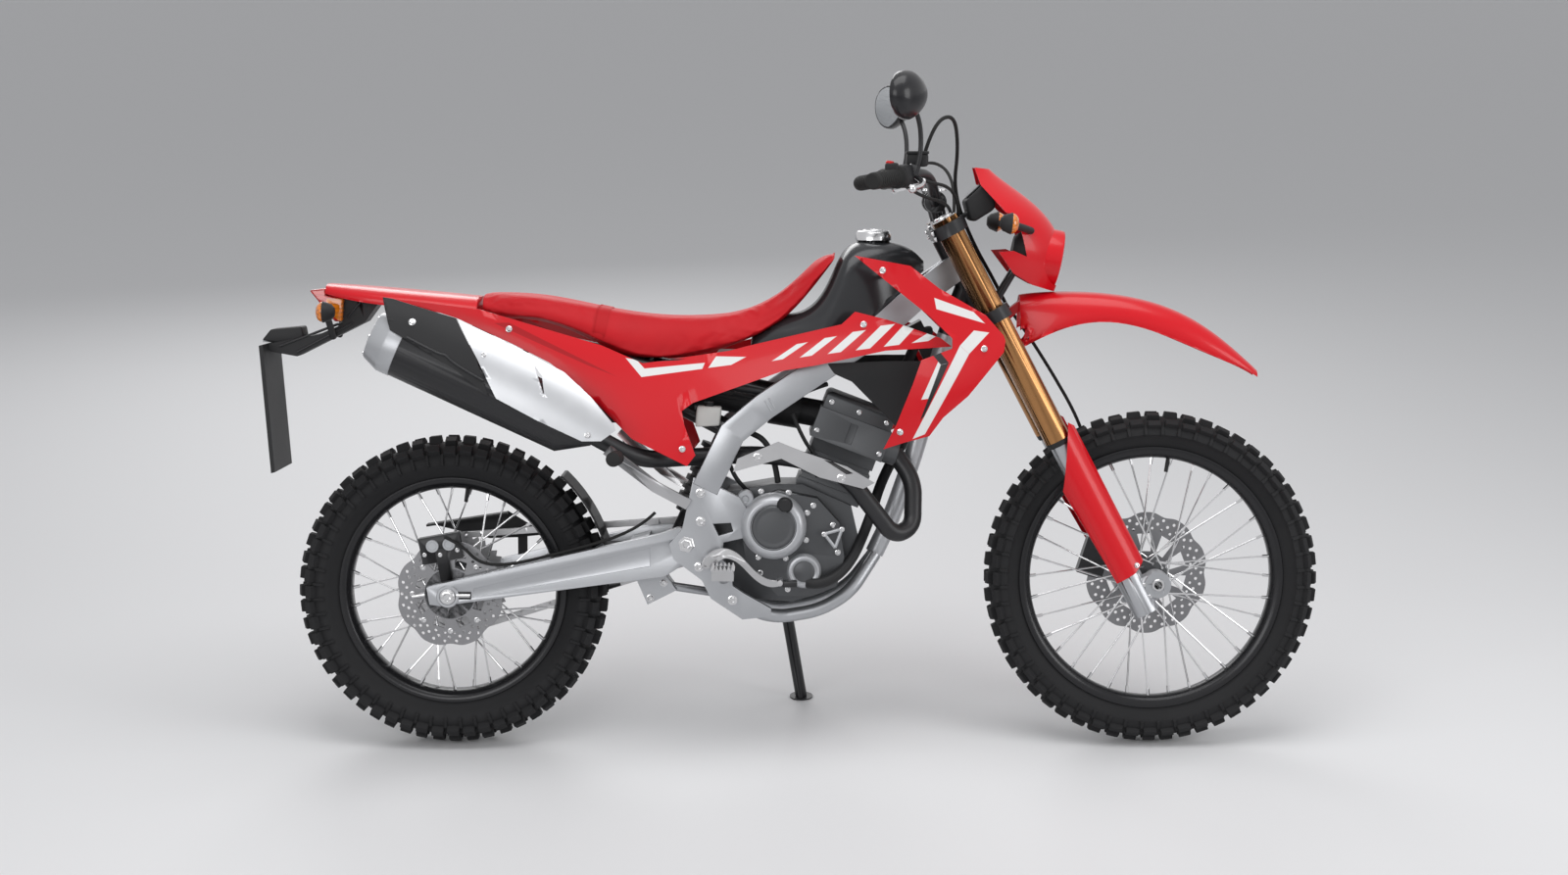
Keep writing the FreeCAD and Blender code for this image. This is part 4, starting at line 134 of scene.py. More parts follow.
class Shade:
    """A material or world being made: its node tree, and a material's one Principled surface."""

    def __init__(self, owner):
        owner.use_nodes = True
        self.owner = owner
        self.tree = owner.node_tree
        self.surface = self.tree.nodes.get("Principled BSDF")
        self.sides = None

    def feed(self, socket, value):
        if isinstance(value, Value):
            self.tree.links.new(value.socket, socket)
        else:
            socket.default_value = value

    def node(self, kind, settings=None, *values, output=0, **named):
        """Any node: its type, its settings, then the values or links of its sockets."""
        made = self.tree.nodes.new("ShaderNode" + kind)
        for key, value in (settings or {}).items():
            setattr(made, key, value)
        for socket, value in zip(made.inputs, values):
            self.feed(socket, value)
        for key, value in named.items():
            self.feed(made.inputs[key.replace("_", " ")], value)
        return Value(self, made.outputs[output])

    def object_place(self):
        return self.node("TexCoord", output="Object")

    def upright(self):
        """The three coordinates of the machine standing upright, as values."""
        if not self.sides:
            turn = UPRIGHT.inverted()
            place = self.node("Mapping", {"vector_type": "POINT"}, self.object_place(),
                              Location=turn.translation, Rotation=turn.to_euler())
            self.sides = [self.node("SeparateXYZ", None, place, output=axis) for axis in "XYZ"]
        return self.sides

    def inside(self, outline):
        """1 inside a convex outline, as (x, z) tenths of a metre seen from the side, anticlockwise."""
        x, _, z = self.upright()
        points = [Vector(point) / 10 for point in outline]
        nearest = None
        for first, second in zip(points, points[1:] + points[:1]):
            way = (second - first).normalized()
            offset = first.x * way.y - first.y * way.x
            depth = x.math("MULTIPLY_ADD", -way.y, z.math("MULTIPLY_ADD", way.x, offset))
            nearest = depth if nearest is None else nearest.least(depth)
        return nearest.above(0, OUTLINE_SOFTNESS)

    def any_of(self, outlines):
        """1 inside any of several outlines."""
        mask = self.inside(outlines[0])
        for outline in outlines[1:]:
            mask = mask.most(self.inside(outline))
        return mask

    def noise(self, scale, detail=3.0, rough=0.5):
        return self.node("TexNoise", Vector=self.object_place(), Scale=scale, Detail=detail, Roughness=rough)

    def cells(self, scale):
        return self.node("TexVoronoi", {"feature": "F1"}, Vector=self.object_place(), Scale=scale)

    def mix(self, factor, low, high):
        """A colour between two colours."""
        made = self.tree.nodes.new("ShaderNodeMix")
        made.data_type = "RGBA"
        self.feed(made.inputs[0], factor)
        self.feed(made.inputs[6], low if isinstance(low, Value) else (*low, 1))
        self.feed(made.inputs[7], high if isinstance(high, Value) else (*high, 1))
        return Value(self, made.outputs[2])

    def bump(self, height, strength, distance):
        normal = self.node("Bump", Height=height, Strength=strength, Distance=distance)
        self.feed(self.surface.inputs["Normal"], normal)

    def set(self, **named):
        for key, value in named.items():
            socket = self.surface.inputs[key.replace("_", " ")]
            if isinstance(value, tuple) and len(value) == 3:
                value = (*value, 1)
            self.feed(socket, value)
        return self


# Finishes
RIB_PITCH = 700.0
RED = (0.6, 0.003, 0.01)
# Deeper red: the seat vinyl's own colour, and painted shade on the side cover's blade
DEEP_RED = (0.42, 0.002, 0.007)
WHITE = (0.8, 0.8, 0.79)
NEAR_BLACK = (0.012, 0.012, 0.014)
SILVER = (0.45, 0.46, 0.48)
AMBER = (0.8, 0.22, 0.01)


def scuffed(shade, low, high, scale=9.0):
    """A roughness that drifts a little over the surface."""
    return low + (high - low) * shade.noise(scale, 4.0)


def painted(name, white=(), black=(), painted_shade=(), base=RED):
    """Gloss moulded plastic with flat areas of other colours, each an outline seen from the side; deeper red
    areas are painted shade.
    """
    shade = Shade(bpy.data.materials.new(name))
    colour = shade.mix(shade.noise(3.0, 2.0), base, tuple(c * 1.1 for c in base))
    # Deeper red areas are painted shade; white and black areas are graphics
    for outlines, paint in ((painted_shade, DEEP_RED), (white, WHITE), (black, NEAR_BLACK)):
        if outlines:
            colour = shade.mix(shade.any_of(outlines), colour, paint)
    shade.set(Base_Color=colour, Roughness=scuffed(shade, 0.24, 0.36))
    shade.set(Coat_Weight=0.2, Coat_Roughness=0.08, Specular_IOR_Level=0.3)
    shade.bump(shade.noise(420.0, 2.0), 0.05, 0.0004)
    return shade.owner


# Colour areas of the panels, as (x, z) tenths of a metre; the cover's deeper red band is painted shade
SLASH_COUNT = 6
SLASH_LEAN = 0.5
COVER_WHITE = [
    [(-3.24, 7.7), (-2.02, 7.86), (-1.97, 7.98), (-3.26, 7.86)],
    [(-3.56, 8.08), (-3.24, 7.7), (-3.1, 7.78), (-3.34, 8.04)],
    [(-1.9, 7.88), (-1.44, 7.94), (-1.14, 8.1), (-1.74, 8.11)],
]
COVER_BLACK = [[(-3.1, 8.0), (-2.5, 8.03), (-2.35, 8.06), (-2.95, 8.05)]]
# A deeper red band along the cover's blade: painted shade
COVER_PAINTED_SHADE = [[(-6.2, 8.78), (-4.3, 7.93), (-3.75, 7.72), (-5.9, 8.79)]]
SHROUD_WHITE = [
    [(3.12, 8.36), (3.3, 8.2), (3.7, 8.62), (3.4, 8.66)],
    [(2.2, 6.48), (2.44, 6.58), (3.3, 8.2), (3.12, 8.36)],
    [(2.36, 7.28), (2.5, 7.3), (2.86, 8.02), (2.74, 8.16)],
    [(2.66, 9.08), (3.62, 8.8), (3.4, 9.02), (2.62, 9.3)],
]
SHROUD_BLACK = [
    [(2.56, 8.2), (2.74, 7.98), (2.9, 8.02), (2.72, 8.24)],
    [(2.34, 6.86), (2.42, 6.94), (2.9, 8.02), (2.74, 7.98)],
]


def cover_slashes():
    """Slashes along the cover that grow towards the front."""
    outlines = []
    for number in range(SLASH_COUNT):
        x = -0.62 + 0.56 * number
        low = 8.02 + 0.075 * number
        high = low + 0.34 + 0.05 * number - (0.28 if number == SLASH_COUNT - 1 else 0)
        width = 0.22 + 0.022 * number
        top = x + SLASH_LEAN
        outlines.append([(x, low), (x + width, low + 0.04), (top + width, high + 0.04), (top, high)])
    return outlines


def plain_metal(name, colour, rough, metallic=1.0, grain=300.0, depth=0.08, other=None, outlines=()):
    """Cast or drawn metal with a fine grain, and areas of another colour seen from the side."""
    shade = Shade(bpy.data.materials.new(name))
    drift = shade.noise(14.0, 5.0)
    darker = tuple(c * 0.86 for c in colour)
    shown = shade.mix(drift, darker, colour)
    if outlines:
        shown = shade.mix(shade.any_of(outlines), shown, other)
    shade.set(Base_Color=shown, Metallic=metallic)
    shade.set(Roughness=scuffed(shade, rough - 0.06, rough + 0.08, 22.0))
    shade.bump(shade.noise(grain, 3.0), depth, 0.0006)
    return shade.owner


def grained(name, colour, rough, scale=900.0, depth=0.25):
    """Grained plastic or rubber."""
    shade = Shade(bpy.data.materials.new(name))
    drift = shade.noise(8.0, 3.0)
    lighter = tuple(c * 1.35 + 0.002 for c in colour)
    shade.set(Base_Color=shade.mix(drift, colour, lighter), Specular_IOR_Level=0.25)
    shade.set(Roughness=scuffed(shade, rough - 0.05, rough + 0.07))
    shade.bump(shade.cells(scale), depth, 0.0003)
    return shade.owner


def lens(name, colour, other=None, outlines=()):
    """A moulded lens with fine ribs inside, and areas of another colour seen from the side."""
    shade = Shade(bpy.data.materials.new(name))
    if outlines:
        colour = shade.mix(shade.any_of(outlines), colour, other)
    _, y, z = shade.upright()
    ribs = (z * RIB_PITCH).math("SINE") * (y * RIB_PITCH).math("SINE")
    darker = shade.mix(0.4, colour, NEAR_BLACK)
    shade.set(Base_Color=shade.mix(ribs.above(0.2, 0.4), colour, darker), Roughness=0.08)
    shade.set(Coat_Weight=1.0, Coat_Roughness=0.03)
    shade.bump(ribs, 0.25, 0.0008)
    return shade.owner


# Parts of a piece in another colour, as (x, z) tenths of a metre
DOWN_TUBE = [(1.0, 3.6), (1.95, 3.6), (3.5, 8.3), (2.6, 8.6)]
TAIL_AMBER = [(-9.72, 8.98), (-9.36, 8.72), (-9.33, 9.24), (-9.7, 9.24)]
MATERIALS = {
    "tyre": grained("tyre_rubber", (0.014, 0.014, 0.015), 0.72, 700.0, 0.35),
    "black_rim": plain_metal("rim_black", (0.018, 0.018, 0.02), 0.24, 0.4),
    "steel": plain_metal("brushed_steel", (0.52, 0.52, 0.53), 0.3),
    "bright_steel": plain_metal("bright_steel", (0.7, 0.7, 0.71), 0.2),
    "frame_silver": plain_metal("frame_silver", SILVER, 0.36, 0.85, 500.0, 0.12),
    "engine_grey": plain_metal("engine_grey", (0.092, 0.095, 0.1), 0.44, 0.6, 600.0, 0.3),
    "black_metal": plain_metal("black_metal", (0.018, 0.018, 0.02), 0.38, 0.2, 500.0, 0.1),
    "black_plastic": grained("black_plastic", (0.016, 0.016, 0.017), 0.52),
    "red_plastic": painted("red_gloss"),
    "cover_red": painted("cover_red", COVER_WHITE + cover_slashes(), COVER_BLACK, COVER_PAINTED_SHADE),
    "shroud_red": painted("shroud_red", SHROUD_WHITE, SHROUD_BLACK),
    "shield_silver": plain_metal("shield_silver", (0.6, 0.61, 0.63), 0.34, 0.6, 500.0, 0.06),
    "cast_bright": plain_metal("cast_bright", (0.46, 0.47, 0.49), 0.34, 0.45, 500.0, 0.15),
    "disc_steel": plain_metal("disc_steel", (0.27, 0.27, 0.28), 0.34, 0.9),
    "head_frame": plain_metal(
        "head_frame", (0.02, 0.02, 0.022), 0.36, 0.5, 500.0, 0.1, SILVER, [DOWN_TUBE]),
    "white_plastic": grained("white_plastic", (0.55, 0.55, 0.53), 0.42),
    "seat_strap": grained("seat_strap", (0.38, 0.002, 0.006), 0.6, 900.0, 0.4),
    "red_button": grained("red_button", (0.55, 0.01, 0.01), 0.35),
    "mirror_glass": plain_metal("mirror_glass", (0.62, 0.64, 0.66), 0.08),
    "gloss_black": painted("gloss_black", base=NEAR_BLACK),
    "amber_lens": lens("amber_lens", AMBER),
    "clear_lens": lens("clear_lens", (0.55, 0.57, 0.6)),
    "tank_black": plain_metal("tank_black", (0.03, 0.031, 0.034), 0.22, 0.3, 400.0, 0.02),
    "seat_red": grained("seat_vinyl", DEEP_RED, 0.55, 1100.0, 0.35),
    "fork_gold": plain_metal("fork_gold", (0.42, 0.21, 0.085), 0.24, 1.0, 200.0, 0.03),
    "lamp_glass": lens("tail_lens", (0.5, 0.012, 0.008), AMBER, [TAIL_AMBER]),
    "smoked_lens": lens("smoked_lens", (0.02, 0.021, 0.024)),
    "grip_rubber": grained("grip_rubber", (0.014, 0.014, 0.014), 0.68, 500.0, 0.3),
}


# Modelling helpers
def deselect():
    """Leave edit mode and select nothing."""
    if bpy.context.object and bpy.context.object.mode != "OBJECT":
        bpy.ops.object.mode_set(mode="OBJECT")
    bpy.ops.object.select_all(action="DESELECT")


def pick(piece):
    """Make one piece the selected and active one."""
    deselect()
    piece.select_set(True)
    bpy.context.view_layer.objects.active = piece


def named(name):
    """The piece just added, with its name."""
    piece = bpy.context.object
    piece.name = name
    piece.data.name = name
    return piece


def smooth(piece, angle=35):
    """Smooth shading, with sharp edges kept past an angle."""
    pick(piece)
    bpy.ops.object.shade_smooth_by_angle(angle=math.radians(angle))
    return piece


def finish_modifiers(piece):
    """Apply every modifier of a piece."""
    pick(piece)
    for modifier in list(piece.modifiers):
        bpy.ops.object.modifier_apply(modifier=modifier.name)
    return piece


def modified(piece, kind, **values):
    """Add a modifier with its settings, and apply it."""
    modifier = piece.modifiers.new(kind.lower(), kind)
    for key, value in values.items():
        setattr(modifier, key, value)
    return finish_modifiers(piece)


def coat(piece, *finishes):
    """Give a piece its materials, by name or made."""
    piece.data.materials.clear()
    for finish in finishes:
        piece.data.materials.append(MATERIALS[finish] if isinstance(finish, str) else finish)
    return piece


stood_for = set()


def settle(piece, body, stands_for=(), upright=True):
    """Put a finished piece's place in its mesh, lean it with the machine, and ride it on its body."""
    place = UPRIGHT @ piece.matrix_world if upright else piece.matrix_world
    piece.data.transform(place)
    piece.matrix_world = Matrix.Identity(4)
    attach(piece, body)
    if stands_for:
        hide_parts(*stands_for)
        stood_for.update(stands_for)
    return piece


def body_of(node):
    """The body that a node of the frame rides on."""
    return nodes[node]["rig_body"]


def node_copy(node, name):
    """A copy of a frame node with its own mesh, free of its body."""
    piece = nodes[node].copy()
    piece.data = nodes[node].data.copy()
    piece.name = name
    piece.parent = None
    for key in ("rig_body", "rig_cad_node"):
        if key in piece:
            del piece[key]
    bpy.context.scene.collection.objects.link(piece)
    pick(piece)
    return piece


def edit_all(piece):
    """Open a piece in edit mode, with all of it selected."""
    pick(piece)
    bpy.ops.object.mode_set(mode="EDIT")
    bpy.ops.mesh.select_all(action="SELECT")


def close_edit():
    """Back from edit mode."""
    bpy.ops.object.mode_set(mode="OBJECT")


def rounded(piece, width, segments, degrees):
    """Round the edges that turn by more than an angle."""
    return modified(piece, "BEVEL", width=width, segments=segments, limit_method="ANGLE",
                    angle_limit=math.radians(degrees))


def dressed(node, finish, edge):
    """A smooth-shaded copy of a frame node, which stands for it."""
    piece = node_copy(node, node + "_finished")
    edit_all(piece)
    bpy.ops.mesh.remove_doubles(threshold=0.00002)
    bpy.ops.mesh.dissolve_limited(angle_limit=math.radians(0.5))
    close_edit()
    if edge:
        rounded(piece, edge, 2, 40)
    slot = NODE_SLOTS[node]
    coat(smooth(piece, 30), finish or slot)
    settle(piece, body_of(node), [node], upright=False)


# Camera and light, as in the photograph
CAMERA_SPOT = (-0.0376, -5.2027, 1.1312)
CAMERA_TILT = 5.45
LENS = 58.0


def set_camera():
    """The photograph's view, in the machine's upright frame."""
    data = bpy.data.cameras.new("camera")
    data.lens = LENS
    camera = bpy.data.objects.new("camera", data)
    bpy.context.scene.collection.objects.link(camera)
    look = Matrix.Rotation(math.radians(90 - CAMERA_TILT), 4, "X")
    camera.matrix_world = UPRIGHT @ Matrix.Translation(CAMERA_SPOT) @ look
    bpy.context.scene.camera = camera


def lamp(name, place, target, size, power):
    """A soft oblong lamp aimed at a point."""
    data = bpy.data.lights.new(name, "AREA")
    data.shape = "RECTANGLE"
    data.size, data.size_y = size
    data.energy = power
    light = bpy.data.objects.new(name, data)
    light.location = place
    light.rotation_euler = (Vector(target) - Vector(place)).to_track_quat("-Z", "Y").to_euler()
    bpy.context.scene.collection.objects.link(light)


FLOOR_COLOUR = (0.78, 0.78, 0.79)
SKY_COLOUR = (0.8, 0.81, 0.83)


def set_stage():
    """Pale floor, pale backdrop for the camera, and soft lamps."""
    deselect()
    bpy.ops.mesh.primitive_plane_add(size=40)
    shade = Shade(bpy.data.materials.new("floor"))
    shade.set(Base_Color=FLOOR_COLOUR, Roughness=0.65)
    coat(named("floor"), shade.owner)
    shade = Shade(bpy.data.worlds.new("studio"))
    seen, glossy, through = (
        shade.node("LightPath", output=f"Is {ray} Ray") for ray in ("Camera", "Glossy", "Transmission"))
    around = shade.node("Background", None, (*SKY_COLOUR, 1), 0.45)
    backdrop = shade.node("Background", None, (*FLOOR_COLOUR, 1), 0.95)
    mixed = shade.node("MixShader", None, seen.most(glossy).most(through), around, backdrop)
    shade.feed(shade.tree.nodes["World Output"].inputs["Surface"], mixed)
    bpy.context.scene.world = shade.owner
    lamp("overhead", (0.2, -0.6, 3.6), (0, 0, 0.6), (3.2, 2.0), 60)
    lamp("near_side", (-1.6, -3.4, 2.0), (0, 0, 0.6), (2.4, 1.6), 36)
    lamp("front_side", (3.2, -1.8, 1.6), (0.3, 0, 0.7), (1.4, 1.8), 30)
    lamp("far_side", (-1.0, 3.6, 2.4), (0, 0, 0.7), (2.4, 1.6), 40)
    bpy.context.scene.view_settings.view_transform = "Standard"


# Shapes that several pieces share
def line(name, points, closed=False):
    """A line of edges through points, drawn by extruding one vertex. A closed one gets its face."""
    deselect()
    bpy.ops.mesh.primitive_plane_add(size=0.001, location=points[0])
    piece = named(name)
    bpy.ops.object.transform_apply(location=True)
    edit_all(piece)
    bpy.ops.mesh.merge(type="CENTER")
    for start, end in zip(points, points[1:]):
        step = Vector(end) - Vector(start)
        bpy.ops.mesh.extrude_region_move(TRANSFORM_OT_translate={"value": step})
    if closed:
        bpy.ops.mesh.select_all(action="SELECT")
        bpy.ops.mesh.edge_face_add()
    close_edit()
    return piece


def outward(piece):
    """Merge doubles and turn every face outwards."""
    edit_all(piece)
    bpy.ops.mesh.remove_doubles(threshold=0.00001)
    bpy.ops.mesh.normals_make_consistent(inside=False)
    close_edit()
    return piece


def spun(name, section, centre, axis=(0, 1, 0), steps=96, loop=True):
    """A turned piece: a section of (across, outward) points, spun about an axis through a centre."""
    axis = Vector(axis).normalized()
    out = axis.orthogonal().normalized()
    points = [Vector(centre) + axis * across + out * outward_by for across, outward_by in section]
    piece = line(name, points + points[:1] if loop else points)
    edit_all(piece)
    bpy.ops.mesh.spin(steps=steps, angle=math.tau, center=centre, axis=axis)
    close_edit()
    return outward(piece)


def extruded(name, outline, thickness, edge=0.0):
    """A flat plate: an outline of points, extruded by a vector, with rounded edges."""
    piece = line(name, outline, True)
    edit_all(piece)
    bpy.ops.mesh.extrude_region_move(TRANSFORM_OT_translate={"value": thickness})
    close_edit()
    outward(piece)
    return rounded(piece, edge, 3, 30) if edge else piece


def side_plate(name, outline, start, end, edge=0.0):
    """A plate cut to a side view of (x, z) points in tenths of a metre, from one y in metres to another."""
    points = [Vector((x / 10, start, z / 10)) for x, z in outline]
    return extruded(name, points, ACROSS * (end - start), edge)


def bar(name, start, end, radius, sides=12):
    """A round bar between two points."""
    start, end = Vector(start), Vector(end)
    deselect()
    bpy.ops.mesh.primitive_cylinder_add(
        vertices=sides, radius=radius, depth=(end - start).length, location=(start + end) / 2,
        rotation=(end - start).to_track_quat("Z", "Y").to_euler(),
    )
    piece = named(name)
    bpy.ops.object.transform_apply()
    return piece


def hose(name, points, radius, sides=3):
    """A smooth tube through control points, made a mesh."""
    deselect()
    curve = bpy.data.curves.new(name, "CURVE")
    curve.dimensions = "3D"
    curve.bevel_depth = radius
    curve.bevel_resolution = sides
    curve.resolution_u = 10
    curve.use_fill_caps = True
    run = curve.splines.new("NURBS")
    run.points.add(len(points) - 1)
    for control, point in zip(run.points, points):
        control.co = (*point, 1)
    run.order_u = 3
    run.use_endpoint_u = True
    piece = bpy.data.objects.new(name, curve)
    bpy.context.scene.collection.objects.link(piece)
    pick(piece)
    bpy.ops.object.convert(target="MESH")
    return smooth(outward(bpy.context.object), 50)


def copied(piece, place):
    """A copy of a piece with its own mesh, moved by a matrix."""
    made = piece.copy()
    made.data = piece.data.copy()
    made.data.transform(place @ piece.matrix_world)
    made.matrix_world = Matrix.Identity(4)
    bpy.context.scene.collection.objects.link(made)
    return made


def joined(name, parts):
    """Several pieces joined into one."""
    deselect()
    for part in parts:
        part.select_set(True)
    bpy.context.view_layer.objects.active = parts[0]
    bpy.ops.object.join()
    return named(name)


def removed(piece):
    """Take away a pattern piece that was only copied from."""
    bpy.data.objects.remove(piece)


def at(x, y, z):
    """A point in tenths of a metre: forward, left and up."""
    return Vector((x, y, z)) / 10


def tube(name, radius, *points, side=1, sides=3):
    """A smooth tube through points in tenths of a metre. Side -1 turns it over to the other side."""
    return hose(name, [at(x, side * y, z) for x, y, z in points], radius, sides)


def radial(turn, length):
    """A step in the machine's middle plane, at an angle up from ahead."""
    return Vector((math.cos(turn), 0, math.sin(turn))) * length


def box(name, size):
    """A box about the origin."""
    deselect()
    bpy.ops.mesh.primitive_cube_add(size=1, location=(0, 0, 0))
    piece = named(name)
    piece.scale = size
    bpy.ops.object.transform_apply(scale=True)
    return piece


def block(name, centre, size, edge, turn=None):
    """A box with rounded edges, turned by a matrix about its middle."""
    piece = rounded(box(name, size), edge, 3, 30)
    piece.data.transform(Matrix.Translation(centre) @ (turn or Matrix.Identity(4)))
    return smooth(piece)


def ball(name, centre, radius, segments, rings):
    """A round ball."""
    deselect()
    bpy.ops.mesh.primitive_uv_sphere_add(
        segments=segments, ring_count=rings, radius=radius, location=centre)
    piece = named(name)
    bpy.ops.object.transform_apply()
    return piece


def ridden(piece, finish, body="chassis", slot=None, stands_for=()):
    """Finish a piece, lean it and ride it on its body. The slot argument is not used."""
    settle(coat(piece, finish), body, stands_for)


def plated(name, finish, outline, start, end, edge=0.0, angle=35, **where):
    """A plate cut to a side view, smoothed and ridden."""
    ridden(smooth(side_plate(name, outline, start, end, edge), angle), finish, **where)


def group(name, finish, parts, angle=35, **where):
    """Pieces joined into one, then smoothed and ridden."""
    ridden(smooth(joined(name, parts), angle), finish, **where)


def on_side(node, x, z, side=-1):
    """Where a line from the side meets a frame node at (x, z) tenths, and the way the surface faces."""
    piece = nodes[node]
    inward = piece.matrix_world.inverted() @ UPRIGHT
    start = inward @ at(x, side * 6, z)
    hit, place, normal, _ = piece.ray_cast(start, inward.to_3x3() @ Vector((0, -side, 0)))
    if not hit:
        raise ValueError(f"nothing of {node} at {x}, {z}")
    back = inward.inverted()
    return back @ place, (back.to_3x3() @ normal).normalized()


def facing(place, way, size):
    """A matrix that stands a pattern piece on a place, its Z along a way."""
    turn = Vector(way).to_track_quat("Z", "Y").to_matrix().to_4x4()
    return Matrix.Translation(place) @ turn @ Matrix.Scale(size, 4)


def turned_piece(name, section, centre, axis, steps, angle=35):
    """A turned piece from an open section of (across, outward) millimetres."""
    metres = [(across / 1000, out / 1000) for across, out in section]
    return smooth(spun(name, metres, centre, axis, steps, loop=False), angle)


def turned(name, finish, section, centre, axis=RIGHT, steps=48, angle=35, **where):
    """A turned piece, ridden on its body."""
    ridden(turned_piece(name, section, centre, axis, steps, angle), finish, **where)


bolt_places = {}


def bolt(place, way, radius, body="chassis"):
    """Ask for a bolt head, radius in millimetres."""
    bolt_places.setdefault(body, []).append(facing(place, way, radius / 1000))


def bolt_on(node, radius, *places, side=-1):
    """Ask for bolt heads on a frame node's side, at (x, z) tenths."""
    for x, z in places:
        bolt(*on_side(node, x, z, side), radius, body_of(node))


def bolts():
    """All bolt heads, joined body by body: each flanged, with a round recess."""
    section = [(0, 1.3), (0.25, 1.3), (0.35, 1.0), (0.95, 0.96), (1.1, 0.8), (1.1, 0.52), (0.55, 0.45),
               (0.55, 0)]
    pattern = smooth(spun("bolt_pattern", section, (0, 0, 0), (0, 0, 1), 18, loop=False), 30)
    for body, places in bolt_places.items():
        heads = [copied(pattern, place) for place in places]
        group(body + "_bolts", "bright_steel", heads, 30, body=body)
    removed(pattern)


# Tyres
TREAD_BLOCKS = 56
TREAD_TOP = 0.84
TREAD_EDGE = 0.0009
FRONT_TYRE = {"radius": FRONT_RADIUS, "half": 0.042, "bead": 0.2685, "bead_half": 0.0195, "lug": 0.010}
REAR_TYRE = {"radius": REAR_RADIUS, "half": 0.058, "bead": 0.2305, "bead_half": 0.0275, "lug": 0.013}
# Height of the widest point, as a share of the carcass wall
BELLY_SHARE = 0.46


def carcass_point(tyre, angle):
    """A point (across, outward) of the carcass, from its crown at 0 to its belly at 90 degrees."""
    crown = tyre["radius"] - tyre["lug"]
    belly = tyre["bead"] + BELLY_SHARE * (crown - tyre["bead"])
    half = tyre["half"] - 0.003
    return half * math.sin(math.radians(angle)), belly + (crown - belly) * math.cos(math.radians(angle))


def tread_block(length, width, height):
    """One tread block standing on the carcass, its top a little smaller."""
    block = box("tread_block", (length, width, 2 * height))
    edit_all(block)
    bpy.ops.mesh.select_all(action="DESELECT")
    close_edit()
    for face in block.data.polygons:
        face.select = face.normal.z > 0.9
    bpy.ops.object.mode_set(mode="EDIT")
    bpy.ops.transform.resize(value=(TREAD_TOP, TREAD_TOP, 1))
    close_edit()
    return rounded(block, TREAD_EDGE, 1, 30)


def tyre_piece(name, node, tyre, centre):
    """A tyre: turned carcass, side ribs, and three kinds of block round the tread."""
    wide, high = carcass_point(tyre, 90)
    bead, bead_half = tyre["bead"], tyre["bead_half"]
    half = [(bead_half, bead), (bead_half + 0.002, bead + 0.01)]
    half += [(wide * 0.86, bead + 0.022), (wide * 0.97, (bead + 0.03 + high) / 2)]
    half += [carcass_point(tyre, angle) for angle in (90, 75, 60, 45, 30, 15, 0)]
    section = half + [(-across, out) for across, out in half[-2::-1]]
    parts = [smooth(spun(name, section, centre, steps=108), 50)]
    step = math.tau / TREAD_BLOCKS
    pitch = step * tyre["radius"]
    middle, inner, shoulder, rib = (
        tread_block(pitch * length, tyre["half"] * width, tyre["lug"] * height)
        for length, width, height in ((0.78, 0.52, 1), (0.74, 0.42, 1), (0.8, 0.34, 1), (0.2, 0.46, 0.28))
    )
    for number in range(TREAD_BLOCKS):
        wheel_turn = Matrix.Translation(centre) @ Matrix.Rotation(number * step, 4, "Y")
        rows = [(shoulder, 58 if number % 2 else 53), (shoulder, -53 if number % 2 else -58)]
        rows += [(rib, 78), (rib, -78)]
        rows += [(middle, 0)] if number % 2 else [(inner, 24), (inner, -24)]
        for block, angle in rows:
            across, out = carcass_point(tyre, angle)
            seat = Matrix.Translation((0, across, out)) @ Matrix.Rotation(math.radians(-angle * 0.9), 4, "X")
            shift = Matrix.Rotation(step / 2 if block is rib else 0, 4, "Y")
            parts.append(copied(block, wheel_turn @ shift @ seat))
    for block in (middle, inner, shoulder, rib):
        removed(block)
    ridden(joined(name, parts), "tyre", body_of(node), stands_for=[node])


# Wheels
SPOKES = 36
SPOKE_RADIUS = 0.0019
NIPPLE_RADIUS = 0.0033
ELBOW_RADIUS = 0.0028
SPOKE_SWEEP = 62
FRONT_WHEEL = {
    "bead": 0.2665, "half": 0.024, "hub": 0.024, "hub_half": 0.046, "flange": 0.036, "flange_at": 0.03,
    "bore": 0.0113,
}
REAR_WHEEL = {
    "bead": 0.2285, "half": 0.032, "hub": 0.03, "hub_half": 0.062, "flange": 0.052, "flange_at": 0.038,
    "bore": 0.0103,
}


def rim_piece(name, wheel, centre):
    """The drop-centre rim, turned."""
    bead, half = wheel["bead"], wheel["half"]
    near = [
        (half - 0.0012, bead + 0.007), (half - 0.003, bead + 0.0062), (half - 0.0038, bead + 0.0005),
        (half * 0.62, bead - 0.003), (half * 0.42, bead - 0.0105),
    ]
    under = [
        (half * 0.4, bead - 0.017), (half * 0.74, bead - 0.0118), (half - 0.001, bead - 0.004),
        (half, bead + 0.002), (half - 0.0002, bead + 0.006),
    ]
    section = near + [(-across, out) for across, out in near[::-1]]
    section += [(-across, out) for across, out in under[::-1]] + under
    return smooth(spun(name, section, centre, steps=128), 40)


def turned_point(across, out, degrees, centre):
    """A point of a wheel, at an angle round its axle."""
    angle = math.radians(degrees)
    return Vector(centre) + Vector((out * math.sin(angle), across, out * math.cos(angle)))


def spokes_piece(name, wheel, centre):
    """Laced spokes with their nipples."""
    parts = []
    for number in range(SPOKES):
        side = 1 if number % 2 else -1
        lean = 1 if (number // 2) % 2 else -1
        angle = number * 360 / SPOKES
        start = turned_point(
            side * (wheel["flange_at"] + lean * 0.0034), wheel["flange"] - 0.005,
            angle + lean * SPOKE_SWEEP, centre)
        end = turned_point(side * wheel["half"] / 4, wheel["bead"] - 0.015, angle, centre)
        along = (end - start).normalized()
        parts.append(bar(name, start, end, SPOKE_RADIUS, 8))
        parts.append(bar(name, end - along * 0.016, end + along * 0.002, NIPPLE_RADIUS, 6))
        parts.append(bar(name, start - ACROSS * 0.004, start + ACROSS * 0.004, ELBOW_RADIUS, 8))
    return smooth(joined(name, parts), 40)


